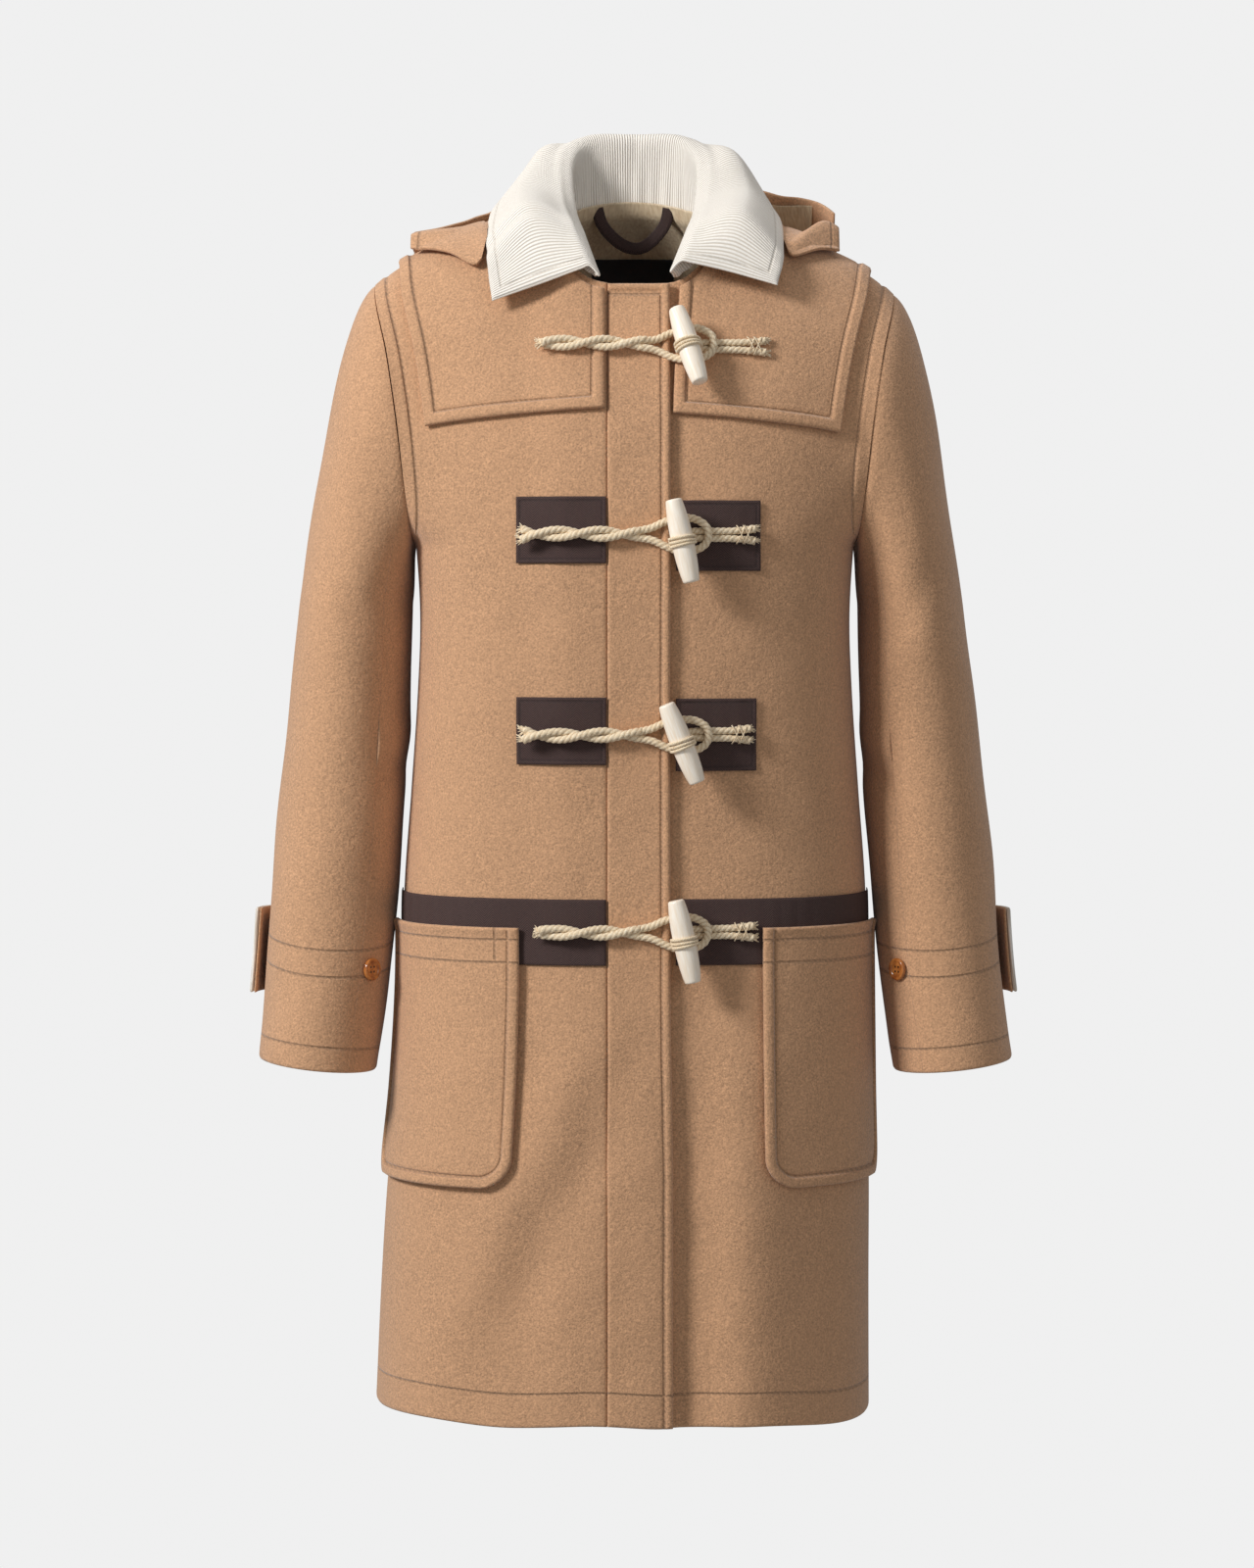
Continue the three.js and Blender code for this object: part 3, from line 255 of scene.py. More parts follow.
# Grids and meshes
# Places from 0 to 1 over a length, finer near its two ends
def spaced(run, coarse=3.2, edge=13, fine=1.1):
    if run < 3 * edge:
        return np.linspace(0, 1, max(4, int(run / fine / 1.6)))
    ends = np.arange(0, edge, fine)
    inner = np.linspace(edge, run - edge, max(3, int((run - 2 * edge) / coarse)))
    return np.concatenate([ends, inner, run - ends[::-1]]) / run


# Distance in mm to each border of a grid, along its lines
def reachOf(grid):
    across = length(np.diff(grid, axis=1)).cumsum(axis=1)
    across = np.concatenate([np.zeros((len(grid), 1)), across], axis=1)
    along = length(np.diff(grid, axis=0)).cumsum(axis=0)
    along = np.concatenate([np.zeros((1, grid.shape[1])), along], axis=0)
    return {"left": across, "right": across[:, -1:] - across, "top": along, "bottom": along[-1:] - along}


# True distance in mm from each grid point to the nearest of its chosen borders
def edgeDistance(grid, sides=("left", "right", "bottom")):
    borders = {"left": grid[:, 0], "right": grid[:, -1], "top": grid[0], "bottom": grid[-1]}
    nearest = np.full(grid.shape[:2], 1e6)
    for side in sides:
        for a, b in zip(borders[side][:-1], borders[side][1:]):
            t = np.clip(((grid - a) @ (b - a)) / max((b - a) @ (b - a), 1e-9), 0, 1)
            nearest = np.minimum(nearest, length(grid - a - t[..., None] * (b - a)))
    return nearest


# Raised edge: a band of one width, then a groove where it is sewn down
def welt(distance, width=10, lift=1.2, groove=0.7):
    return lift * (1 - ease(width - 2, width + 1, distance)) - groove * bell(distance, width, 1.3)


def dressed(name, points, faces, look, values):
    mesh = bpy.data.meshes.new(name)
    mesh.from_pydata((np.asarray(points) * 0.001).tolist(), [], faces)
    for key, value in values.items():
        layer = mesh.attributes.new(key, "FLOAT", "POINT")
        layer.data.foreach_set("value", np.asarray(value, np.float32).ravel())
    mesh.polygons.foreach_set("use_smooth", np.ones(len(mesh.polygons), bool))
    mesh.materials.append(looks[look])
    mesh.update()
    piece = bpy.data.objects.new(name, mesh)
    scene.collection.objects.link(piece)
    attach(piece, "root")
    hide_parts(name)
    return piece


# Closed wall between two distances from a grid, with rounded edges
def wall(name, grid, outer, inner, pole, look, lines=(), values=None, shift=0, seamed=None,
         flush=()):
    rows, cols = grid.shape[:2]
    across, along = np.gradient(grid, axis=1), np.gradient(grid, axis=0)
    normal = unit(np.cross(across, along))
    side = np.sign((normal * pole).sum()) or 1
    normal *= side
    if seamed is not None:
        normal[..., 1] = np.where(seamed, 0, normal[..., 1])
        normal = unit(normal)

    def whole(v):
        return np.broadcast_to(v, (rows, cols))
    outer, inner = whole(outer + shift), whole(inner + shift)
    r, c = np.arange(rows)[:, None], np.arange(cols)[None, :]
    counts = {"top": r, "bottom": rows - 1 - r, "left": c, "right": cols - 1 - c}
    ring = np.minimum.reduce([whole(v + 9 * (k in flush)) for k, v in counts.items()])
    full = np.where(ring == 0, 0.4, np.where(ring == 1, 0.86, 1))
    middle, half = (outer + inner) / 2, (outer - inner) / 2 * full
    layers = [grid + normal * (middle + half)[..., None], grid + normal * (middle - half)[..., None]]
    points = np.concatenate([layer.reshape(-1, 3) for layer in layers])
    index = np.arange(rows * cols).reshape(rows, cols)
    quads = np.stack([index[:-1, :-1], index[:-1, 1:], index[1:, 1:], index[1:, :-1]], -1).reshape(-1, 4)
    count = rows * cols
    rim = np.concatenate([index[0, :-1], index[:-1, -1], index[-1, :0:-1], index[:0:-1, 0]])
    nextRim = np.roll(rim, -1)
    band = np.stack([nextRim, rim, rim + count, nextRim + count], axis=-1)
    faces = np.concatenate([quads, quads[:, ::-1] + count, band])
    if side < 0:
        faces = faces[:, ::-1]
    reach = reachOf(grid)
    extra = {"across": reach["left"], "along": reach["top"]}
    extra.update(values or {})
    doubled = {key: np.concatenate([whole(v).ravel()] * 2) for key, v in extra.items()}
    far = np.full((rows, cols), 50.0)
    for key, line in zip(("lineA", "lineB", "lineC", "lineD"), [*lines, far, far, far, far]):
        doubled[key] = np.concatenate([whole(line), far]).ravel()
    piece = dressed(name, points, faces.tolist(), look, doubled)
    a, b, c, d = (points[faces[:, k]] for k in range(4))
    print("built", name, len(points))
    return piece


# Materials
def linear(red, green, blue):
    c = np.array([red, green, blue]) / 255
    return (*np.where(c < 0.04045, c / 12.92, ((c + 0.055) / 1.055) ** 2.4).tolist(), 1)


# Node tree of one material, and the nodes that the looks are made of
class Look:
    def __init__(self, name, roughness, sheen=0.0, coat=0.0):
        self.made = bpy.data.materials.new(name)
        self.made.use_nodes = True
        self.tree = self.made.node_tree
        self.shader = self.tree.nodes["Principled BSDF"]
        for key, value in (("Roughness", roughness), ("Sheen Weight", sheen), ("Coat Weight", coat)):
            self.shader.inputs[key].default_value = value

    def node(self, kind, inputs=(), **settings):
        made = self.tree.nodes.new("ShaderNode" + kind)
        for key, value in settings.items():
            setattr(made, key, value)
        for key, value in dict(inputs).items():
            if isinstance(value, bpy.types.NodeSocket):
                self.tree.links.new(value, made.inputs[key])
            else:
                made.inputs[key].default_value = value
        return made

    def sums(self, operation, a, b=0.0, c=0.0):
        return self.node("Math", {0: a, 1: b, 2: c}, operation=operation).outputs[0]

    def times(self, a, b):
        return self.sums("MULTIPLY", a, b)

    # A wave from 0 to 1
    def wave(self, kind, turn):
        return self.sums("MULTIPLY_ADD", self.sums(kind, turn), 0.5, 0.5)

    def named(self, name):
        return self.node("Attribute", attribute_name=name).outputs["Fac"]

    def noise(self, scale, detail=2.0, stretch=None, roughness=0.5):
        place = self.node("TexCoord").outputs["Object"]
        if stretch:
            place = self.node("Mapping", {"Vector": place, "Scale": stretch}).outputs[0]
        inputs = {"Vector": place, "Scale": scale, "Detail": detail, "Roughness": roughness}
        return self.node("TexNoise", inputs).outputs["Fac"]

    def blend(self, amount, a, b):
        return self.node("Mix", {0: amount, 6: a, 7: b}, data_type="RGBA").outputs[2]

    def remap(self, value, low, high, toLow=0.0, toHigh=1.0):
        return self.node("MapRange", {0: value, 1: low, 2: high, 3: toLow, 4: toHigh}).outputs[0]

    # A tone blended towards a colour, by an amount or by what remap is given
    def tint(self, tone, amount, colour):
        amount = self.remap(*amount) if isinstance(amount, tuple) else amount
        return self.blend(amount, tone, linear(*colour))

    # Stitch mark: 1 on the line, falling to 0 at 1.5 mm, and the same with short threads along it
    def stitchMark(self):
        near = self.sums("ABSOLUTE", self.named("lineA"))
        for name in ("lineB", "lineC", "lineD"):
            near = self.sums("MINIMUM", near, self.sums("ABSOLUTE", self.named(name)))
        line = self.remap(near, 0.35, 1.5, 1.0, 0.0)
        place = self.node("SeparateXYZ", {0: self.node("TexCoord").outputs["Object"]})
        run = self.sums("ADD", place.outputs[0], place.outputs[2])
        thread = self.sums("MULTIPLY_ADD", self.sums("SINE", self.times(run, 2 * pi / 0.0042)), 0.3, 0.7)
        return line, self.times(line, thread)

    def complete(self, tone, height, distance, strength):
        self.tree.links.new(tone, self.shader.inputs["Base Color"])
        bump = self.node("Bump", {"Height": height, "Distance": distance, "Strength": strength})
        self.tree.links.new(bump.outputs[0], self.shader.inputs["Normal"])
        return self.made


def woolLook(name, colour):
    m = Look(name, 0.94, sheen=0.25)
    fine, medium, slow = m.noise(620, 3, roughness=0.7), m.noise(210, 2), m.noise(14, 2)
    light = linear(*[min(255, c * 1.15) for c in colour])
    dark = linear(*[c * 0.76 for c in colour])
    tone = m.blend(m.remap(fine, 0.3, 0.7), dark, light)
    tone = m.tint(tone, (medium, 0.35, 0.7, 0, 0.35), [c * 0.9 for c in colour])
    tone = m.tint(tone, (slow, 0.35, 0.7, 0, 0.22), [min(255, c * 1.05) for c in colour])
    line, thread = m.stitchMark()
    tone = m.tint(tone, m.times(thread, 0.5), [c * 0.55 for c in colour])
    fuzz = m.sums("ADD", m.times(fine, 0.5), m.times(medium, 0.6))
    height = m.sums("SUBTRACT", fuzz, m.times(line, 0.8))
    return m.complete(tone, height, 0.0013, 0.85)


# Corduroy: ribs follow the wale value, each a rounded cosine, with painted shade darkening the grooves
# between them
def corduroyLook():
    m = Look("cream corduroy", 0.9, sheen=0.2)
    wobble = m.times(m.noise(90, 2), 0.6)
    turn = m.times(m.sums("ADD", m.named("wale"), wobble), 2 * pi / 2.9)
    rib = m.wave("COSINE", turn)
    nap = m.noise(520, 3)
    # Painted shade: the base colour goes darker in the grooves between the ribs
    tone = m.blend(m.remap(rib, 0.0, 0.62), linear(214, 203, 188), linear(250, 245, 237))
    tone = m.tint(tone, (nap, 0.4, 0.75, 0, 0.25), (228, 218, 203))
    line, thread = m.stitchMark()
    tone = m.tint(tone, m.times(thread, 0.4), (190, 178, 160))
    height = m.sums("ADD", m.sums("POWER", rib, 0.6), m.times(nap, 0.3))
    return m.complete(tone, m.sums("SUBTRACT", height, line), 0.0008, 0.8)


def satinLook():
    m = Look("beige satin", 0.42, sheen=0.1)
    fine, slow = m.noise(160, 2, (3, 3, 0.25)), m.noise(22, 2)
    tone = m.blend(m.remap(fine, 0.3, 0.7), linear(196, 172, 140), linear(226, 208, 178))
    tone = m.tint(tone, (slow, 0.3, 0.7, 0, 0.3), (206, 182, 150))
    return m.complete(tone, fine, 0.0015, 0.35)


# Herringbone twill: diagonal ribs that turn back every 7 mm
def twillLook():
    m = Look("brown twill", 0.85, sheen=0.02)
    across, along = m.named("across"), m.named("along")
    zigzag = m.sums("PINGPONG", across, 7.0)
    turn = m.times(m.sums("ADD", zigzag, along), 2 * pi / 1.9)
    rib = m.wave("SINE", turn)
    nap = m.noise(700, 2)
    tone = m.blend(rib, linear(38, 25, 25), linear(84, 61, 57))
    tone = m.tint(tone, (nap, 0.35, 0.7, 0, 0.3), (88, 66, 60))
    line, thread = m.stitchMark()
    tone = m.tint(tone, m.times(thread, 0.5), (36, 26, 26))
    return m.complete(tone, m.sums("SUBTRACT", rib, line), 0.0004, 0.7)


def ropeLook():
    m = Look("twisted rope", 0.88, sheen=0.15)
    fibre, spot = m.noise(900, 3), m.noise(260, 2)
    groove = m.named("groove")
    tone = m.blend(m.remap(fibre, 0.3, 0.7), linear(230, 204, 164), linear(255, 242, 216))
    # Painted shade: the colour is darkened in the grooves between the twisted strands
    tone = m.tint(tone, m.times(groove, 0.6), (166, 130, 88))
    tone = m.tint(tone, (spot, 0.6, 0.75, 0, 0.5), (176, 140, 96))
    return m.complete(tone, fibre, 0.0007, 0.7)


def woodLook():
    m = Look("pale wood", 0.42, coat=0.15)
    place = m.node("CombineXYZ", {0: m.named("across"), 1: m.times(m.named("along"), 0.07)})
    grain = m.node("TexNoise", {"Vector": place.outputs[0], "Scale": 0.9, "Detail": 4.0}).outputs["Fac"]
    tone = m.blend(m.remap(grain, 0.3, 0.72), linear(244, 226, 202), linear(255, 248, 236))
    return m.complete(tone, grain, 0.0003, 0.5)


# Horn: brown mottling, with four holes at 1.9 mm from the middle painted in as dark spots of painted shade
def hornLook():
    m = Look("brown horn", 0.22, coat=0.4)
    mottle = m.noise(180, 3)
    tone = m.blend(m.remap(mottle, 0.35, 0.7), linear(150, 82, 34), linear(214, 138, 70))
    x = m.sums("SUBTRACT", m.sums("ABSOLUTE", m.named("across")), 1.9)
    y = m.sums("SUBTRACT", m.sums("ABSOLUTE", m.named("along")), 1.9)
    far = m.sums("SQRT", m.sums("ADD", m.times(x, x), m.times(y, y)))
    # Painted shade: dark spots stand for the shaded insides of the four holes
    tone = m.tint(tone, (far, 0.8, 1.15, 1, 0), (40, 22, 14))
    return m.complete(tone, mottle, 0.0002, 0.3)


def labelLook():
    m = Look("black label", 0.6, sheen=0.05)
    turn = m.times(m.named("across"), 2 * pi / 0.9)
    weave = m.times(m.sums("SINE", turn),
                 m.sums("SINE", m.times(m.named("along"), 2 * pi / 0.9)))
    tone = m.blend(m.remap(weave, -1, 1), linear(14, 14, 17), linear(30, 30, 34))
    return m.complete(tone, weave, 0.0002, 0.5)


camel = (201, 155, 117)
looks = {
    "wool": woolLook("camel melton", camel), "corduroy": corduroyLook(), "satin": satinLook(),
    "twill": twillLook(), "rope": ropeLook(), "wood": woodLook(), "horn": hornLook(), "label": labelLook(),
}
print("materials made")


# Body panels
bodyRun = np.array([0, 235, 295, 355, 415, 475, 540, 605, 675, 746, 835, 927], float)


# Levels between two levels, at spaced distances down the body
def levelRows(first, last, coarse=5.0, edge=13):
    a, b = np.interp([first, last], np.arange(12), bodyRun)
    return np.interp(a + spaced(b - a, coarse, edge) * (b - a), bodyRun, np.arange(12))


forward, rearward = np.array([0, -1.0, 0]), np.array([0, 1.0, 0])


# A signed distance kept where a mask holds and far off elsewhere, so that its line ends there
def within(mask, distance):
    return np.where(mask, distance, np.where(distance < 0, -50, 50))


# The shoulder seam, outside the neck
def onShoulder(grid, level):
    return (level < 1e-6) & (np.abs(grid[..., 0]) > shape["neckHalf"])


panel = {"cloth": 3, "armholeWelt": 11, "hemStitch": 26, "column": 4.8}


def panelWall(name, grid, level, sideSeam, pole, sides):
    reach, z = reachOf(grid), grid[..., 2]
    armhole = np.minimum.reduce([reach[s] for s in sides])
    raised = welt(armhole, panel["armholeWelt"], 1.1) * ease(-262, -236, z)
    lines = [within(z > -246, armhole - panel["armholeWelt"]), reach["bottom"] - panel["hemStitch"]]
    wall(name, grid, raised, -panel["cloth"], pole, "wool", lines, flush=sides,
         seamed=sideSeam & (z < -249) | onShoulder(grid, level))


for name, front in edges.items():
    u, level = np.meshgrid(spaced(250, panel["column"]), levelRows(0, 11))
    panelWall(f"front_{name}", frontPoint(front, u, level), level, u > 0.9999, forward, ["right"])

u, level = np.meshgrid(spaced(500, panel["column"]), levelRows(0, 11))
xPart = shareOf(mix(-pi / 2, pi / 2, u))
grid = bodyPoint(1, xPart, levelTurn(1, xPart, level))
panelWall("back_panel", grid, level, np.abs(u - 0.5) > 0.4999, rearward, ["left", "right"])


# Grid laid on the front or back between straight edges given by real x and z
def laidGrid(face, left, right, top, bottom, lift=None, column=2.4, row=3.2, edge=13):
    x, z = np.meshgrid(mix(left, right, spaced(right - left, column, edge)),
                       mix(top, bottom, spaced(top - bottom, row, edge)))
    grid = bodyAt(face, x, z.astype(float))
    if lift:
        grid[..., 1] += face * lift(grid[..., 0])
    return grid


placket = {"left": -21.7, "right": 27.5, "inner": 0.7, "outer": 5.0, "stitch": 6.8, "topStitch": 9.6}
grid = laidGrid(-1, placket["left"], placket["right"], shape["neckFrontZ"] - 1, shape["hemZ"],
                column=3, row=4)
reach = reachOf(grid)
edgeOf = np.minimum(reach["right"], reach["top"])
raised = placket["outer"] + welt(edgeOf, placket["stitch"], 1.3, 0.9) + 1.2 * ease(14, 0, reach["right"])
lines = [within(reach["top"] > 9, reach["right"] - placket["stitch"]),
         within(reach["right"] > 6, reach["top"] - placket["topStitch"]),
         reach["bottom"] - panel["hemStitch"]]
wall("placket", grid, raised, placket["inner"], forward, "wool", lines)

# Storm yoke: each flap's columns lean outwards to its slanted outer edge
yoke = {"inner": 1, "outer": 4, "shoulderX": 189, "welt": 10}
flaps = {
    "right": {"from": -24, "to": -165, "bottomInner": -147, "bottomOuter": -160},
    "left": {"from": 32, "to": 161, "bottomInner": -151, "bottomOuter": -165},
}


def neckGap(xPart):
    return 0.03 * ease(88, 72, np.abs(xPart) * shoulderHalf)


def cornerLift(x, level):
    return 2 * bell(np.abs(x), 74, 18) * ease(0.16, 0.08, level)


for name, flap in flaps.items():
    front = edges[name]
    first = columnAt(front, flap["from"], -100)
    wide = columnAt(front, front["side"] * yoke["shoulderX"], -30)
    lowest = columnAt(front, flap["to"], flap["bottomOuter"])
    u, v = np.meshgrid(spaced(145, 3), spaced(160, 3))
    across = mix(first, mix(wide, lowest, v), u)
    xPart = frontShare(front, across, 0.5 * v)
    low = turnOf(shoulderZ(xPart) - mix(flap["bottomInner"], flap["bottomOuter"], u))
    level = mix(neckGap(xPart), 0.6, v)
    grid = bodyPoint(-1, xPart, mix(levelTurn(-1, xPart, neckGap(xPart)), low, v))
    if front["side"] < 0:
        grid[..., 1] -= lapLift(grid[..., 0])
    lift = cornerLift(grid[..., 0], level)
    edgeOf = edgeDistance(grid)
    raised = yoke["outer"] + lift + welt(edgeOf, yoke["welt"], 1.9, 1.1)
    wall(f"yoke_front_{name}", grid, raised, yoke["inner"] + lift, forward, "wool", [edgeOf - yoke["welt"]],
         seamed=onShoulder(grid, level))

wideX, lowX = yoke["shoulderX"] / shoulderHalf, 172 / body(1, np.array(-170.0))
u, v = np.meshgrid(spaced(360, 4) * 2 - 1, spaced(180, 4))
xPart = shareOf(u * mix(angleOf(wideX), angleOf(lowX), v))
level = mix(neckGap(xPart), 0.6, v)
grid = bodyPoint(1, xPart, mix(levelTurn(1, xPart, neckGap(xPart)), turnOf(shoulderZ(xPart) + 170), v))
lift = cornerLift(grid[..., 0], level)
edgeOf = edgeDistance(grid)
wall("yoke_back", grid, yoke["outer"] + lift + welt(edgeOf, yoke["welt"], 1.3, 0.8), yoke["inner"] + lift,
     rearward, "wool", [edgeOf - yoke["welt"]], seamed=onShoulder(grid, level))

# Lining inside the neck, with small gathers hanging from the seam. Behind the neck it comes round
# the back's top edge. Then the label and the hanger loop
lining = {"inner": -4.95, "outer": -3.95, "gather": 1.7}
u, level = np.meshgrid(mix(-0.36, 0.36, spaced(330, 2.2)), levelRows(0, 1, 3.5))
xPart = shareOf(u * pi)
grid = bodyPoint(1, xPart, levelTurn(1, xPart, level))
behindNeck = ease(80, 60, np.abs(grid[..., 0]))
grid[..., 1] -= 4 * behindNeck * ease(0.12, 0.02, level)
grid[..., 2] += 7.5 * behindNeck * ease(0.018, 0, level)
x, z = grid[..., 0], grid[..., 2]
bare = 1 - ease(50, 36, np.abs(x)) * ease(-66, -58, z)
turn = x * 0.62 + 1.4 * np.sin(x * 0.11) + 0.3 * np.sin(z * 0.05)
gathers = -lining["gather"] * ripple(turn) * bare * ease(-170, -30, z)
wall("back_lining", grid, lining["outer"], lining["inner"], rearward, "satin", shift=gathers)

label = {"left": -37, "right": 34, "top": -11, "bottom": -57, "inner": -7.1, "outer": -6.1}
grid = laidGrid(1, label["left"], label["right"], label["top"], label["bottom"], edge=4)
wall("neck_label", grid, label["outer"], label["inner"], rearward, "label")

hanger = {"half": 5, "thick": 1.4, "stitch": 3.8}
hangerSpots = np.array([
    [-31, 55.4, 25], [-27, 55.2, 12], [-17, 55.5, 0], [-5, 58, -7], [6, 58, -7], [16, 56, 0], [25, 56.2, 12],
    [28, 55.9, 25],
])


# Points at equal steps along a smooth curve through spots
def route(spots, step):
    dense = between(spots, np.linspace(0, len(spots) - 1, 60 * len(spots)))
    far = np.concatenate([[0], length(np.diff(dense, axis=0)).cumsum()])
    at = np.linspace(0, far[-1], max(3, int(far[-1] / step)))
    return np.stack([np.interp(at, far, dense[:, k]) for k in range(dense.shape[1])], axis=1), at


path, _ = route(hangerSpots, 1.4)
sideways = unit(np.cross(np.gradient(path, axis=0), [0, -1, 0]))
widths = np.linspace(-hanger["half"], hanger["half"], 9)[None]
grid = path[:, None] + sideways[:, None] * widths[..., None]
wall("hanger_loop", grid, hanger["thick"] / 2, -hanger["thick"] / 2, forward, "twill",
     [np.abs(widths) - hanger["stitch"] + 0 * grid[..., 0]])

# Collar, from a table by turn: 0 at the centre back, 1 at a front end
collar = {"wall": 2.4, "radius": 7.5, "stitch": 9}
collarTable = np.array([
    [0, 0, 78, 87, 0, 99, 67, 0, 111, 26, 0], [0.2, 38, 70, 85, 47, 91, 69, 54, 104, 26, 0],
    [0.4, 57, 44, 67, 79, 57, 71, 98, 72, 32, 0], [0.6, 56, 2, 27, 91, 9, 38, 117, 6, 15, 0],
    [0.8, 48, -47, 1, 86, -49, 8, 118, -60, -27, 3], [1, 36, -80, -33, 74, -80, -47, 113, -82, -61, 14],
], float)
collarTurn = pi - np.arcsin(0.46)


def neckSeam(s):
    angle = pi + s * collarTurn
    xPart = -shape["neckHalf"] * np.sin(angle) / shoulderHalf
    behind = bodyPoint(1, xPart, topTurn(1, xPart))
    before = bodyPoint(-1, xPart, topTurn(-1, xPart))
    before[..., 1] -= np.where(xPart < 0, lapLift(before[..., 0]), 0)
    return np.where((np.cos(angle) < 0)[..., None], behind, before) + [0, 0, 4]


def collarGrid(ss, ts):
    turn, side = np.abs(ss), np.where(ss < 0, -1, 1)
    table = [column(collarTable[:, 0], collarTable[:, k], turn) for k in range(1, 11)]
    rise = np.where(ss > 0, table[9], 0)
    fold, mid, edge = (stack(side * table[k], table[k + 1], table[k + 2] + rise * share)
                       for k, share in ((0, 0.25), (3, 0.75), (6, 1)))
    base = neckSeam(ss)
    base = base - unit(base * [1, 1, 0]) * (collar["wall"] / 2 + 0.5)
    out = unit((mid - fold) * [1, 1, 0])
    r = collar["radius"]
    before, after = fold - out * r - [0, 0, r], fold + out * r + (mid - fold) * [0, 0, 0.25] + [0, 0, 1.2]
    spots = np.stack([base, (base + before) / 2, before, fold, after, mid, edge])
    return between(spots, ts * 6)


fine = np.linspace(0, 1, 400)
run = length(np.diff(collarGrid(np.array([0.5]), fine)[:, 0], axis=0)).cumsum()
rows = np.interp(spaced(run[-1], 2.2) * run[-1], np.concatenate([[0], run]), fine)
ss = spaced(520, 2.2) * 2 - 1
grid = collarGrid(ss, rows)
reach = reachOf(grid)
s, t = np.meshgrid(ss, rows)
leaf = ease(0.6, 0.95, t)
scallop = leaf * (1.1 * np.sin(s * 17 + 0.6) + 0.8 * np.sin(s * 31))
crease = -1.2 * bell(s + t * 0.06, 0.905, 0.03) * ease(0.55, 0.7, t) * (s > 0)
crease = crease - 2.0 * bell(-s + t * 0.1, 0.86, 0.02) * ease(0.6, 0.75, t) * (s < 0)
gather = (0.7 * np.sin(s * 95) + 0.6 * np.sin(s * 41 + 1)) * ease(0.34, 0.0, t)
wale = reach["left"][int(len(rows) * 0.72)][None] + 0 * s
edgeOf = edgeDistance(grid)
lines = [within(t > 0.55, edgeOf - collar["stitch"])]
puff = ease(0, 4, edgeOf) * 0.5 * ease(0.5, 0.6, t)
wall("collar", grid, collar["wall"] / 2 + puff, -collar["wall"] / 2, np.array([0, 0, 1.0]), "corduroy",
     lines, {"wale": wale}, shift=scallop + crease + gather)

# Hood, hanging open at the back: its outline in upright sections from right to left, each with
# the foot, lip, trough, nape, low point, rear and rim as y, z
hoodXs = np.array([-181, -150, -125, -118, -112.5, -85, -45, 0, 45, 85, 112.5, 118, 125, 150, 165.0])
hoodTable = np.array([
    [-18, -14, -10, -3, 6, -11, 24, -13, 42, -19, 57, -6, 52, 5],
    [-38, -21, -14, 1, 20, -3, 50, -13, 80, -30, 96, -10, 84, 15],
    [-53, -31, -11, 5, 34, 0, 92, -34, 118, -64, 138, -34, 114, 26],
    [-26, -1, 0, 8, 38, 2, 99, -38, 124, -78, 143, -44, 120, 30],
    [4, 6, 12, 7, 42, 1, 103, -42, 127, -92, 147, -52, 124, 33],
    [20, 8.5, 28, 8.5, 66, -5, 116, -66, 139, -170, 166, -90, 140, 44],
    [78, 11, 86, 4, 111, -30, 129, -118, 147, -226, 180, -118, 150, 51],
    [96, 11, 102, 2, 114, -30, 130, -120, 150, -238, 185, -124, 153, 53],
    [78, 11, 86, 4, 111, -30, 129, -118, 147, -226, 180, -116, 148, 54],
    [20, 7, 28, 6.5, 66, -8, 116, -68, 139, -170, 168, -84, 134, 52],
    [2, 2.5, 10, 2.5, 40, -4, 103, -46, 127, -94, 148, -44, 116, 44],
    [-24, -5, -16, -2, 26, -3, 99, -42, 124, -80, 144, -36, 112, 42],
    [-46, -23, -38, -11, 14, -2, 92, -38, 118, -66, 138, -28, 107, 40],
    [-30, -17, -12, 8, 20, -7, 50, -19, 80, -34, 98, -6, 84, 34],
    [-20, -20, -8, 3, 8, -13, 26, -16, 47, -19, 68, -1, 58, 21],
], float)


# Moves points out until they lie clear of the body in their own upright sections
def clearOfBody(p, clearance):
    xPart = np.clip((p[..., 0] - body(4, p[..., 2])) / body(1, p[..., 2]), -1, 1)
    result = p.copy()
    for face in (-1, 1):
        def place(turn):
            q = bodyPoint(face, xPart, np.broadcast_to(turn, xPart.shape))
            q[..., 0] = p[..., 0]
            return q
        best, turn = np.full(xPart.shape, np.inf), np.zeros(xPart.shape)
        for tried in np.linspace(0, 4.5, 91):
            far = length(place(tried) - p)
            turn, best = np.where(far < best, tried, turn), np.minimum(far, best)
        along = unit(place(turn + 0.02) - place(turn - 0.02))
        out = stack(0 * xPart, -face * along[..., 2], face * along[..., 1])
        now = ((p - place(turn)) * out).sum(axis=-1)
        moved = p + out * np.maximum(0, clearance - now)[..., None]
        result = np.where(((p[..., 1] < 0) == (face < 0))[..., None], moved, result)
    return result


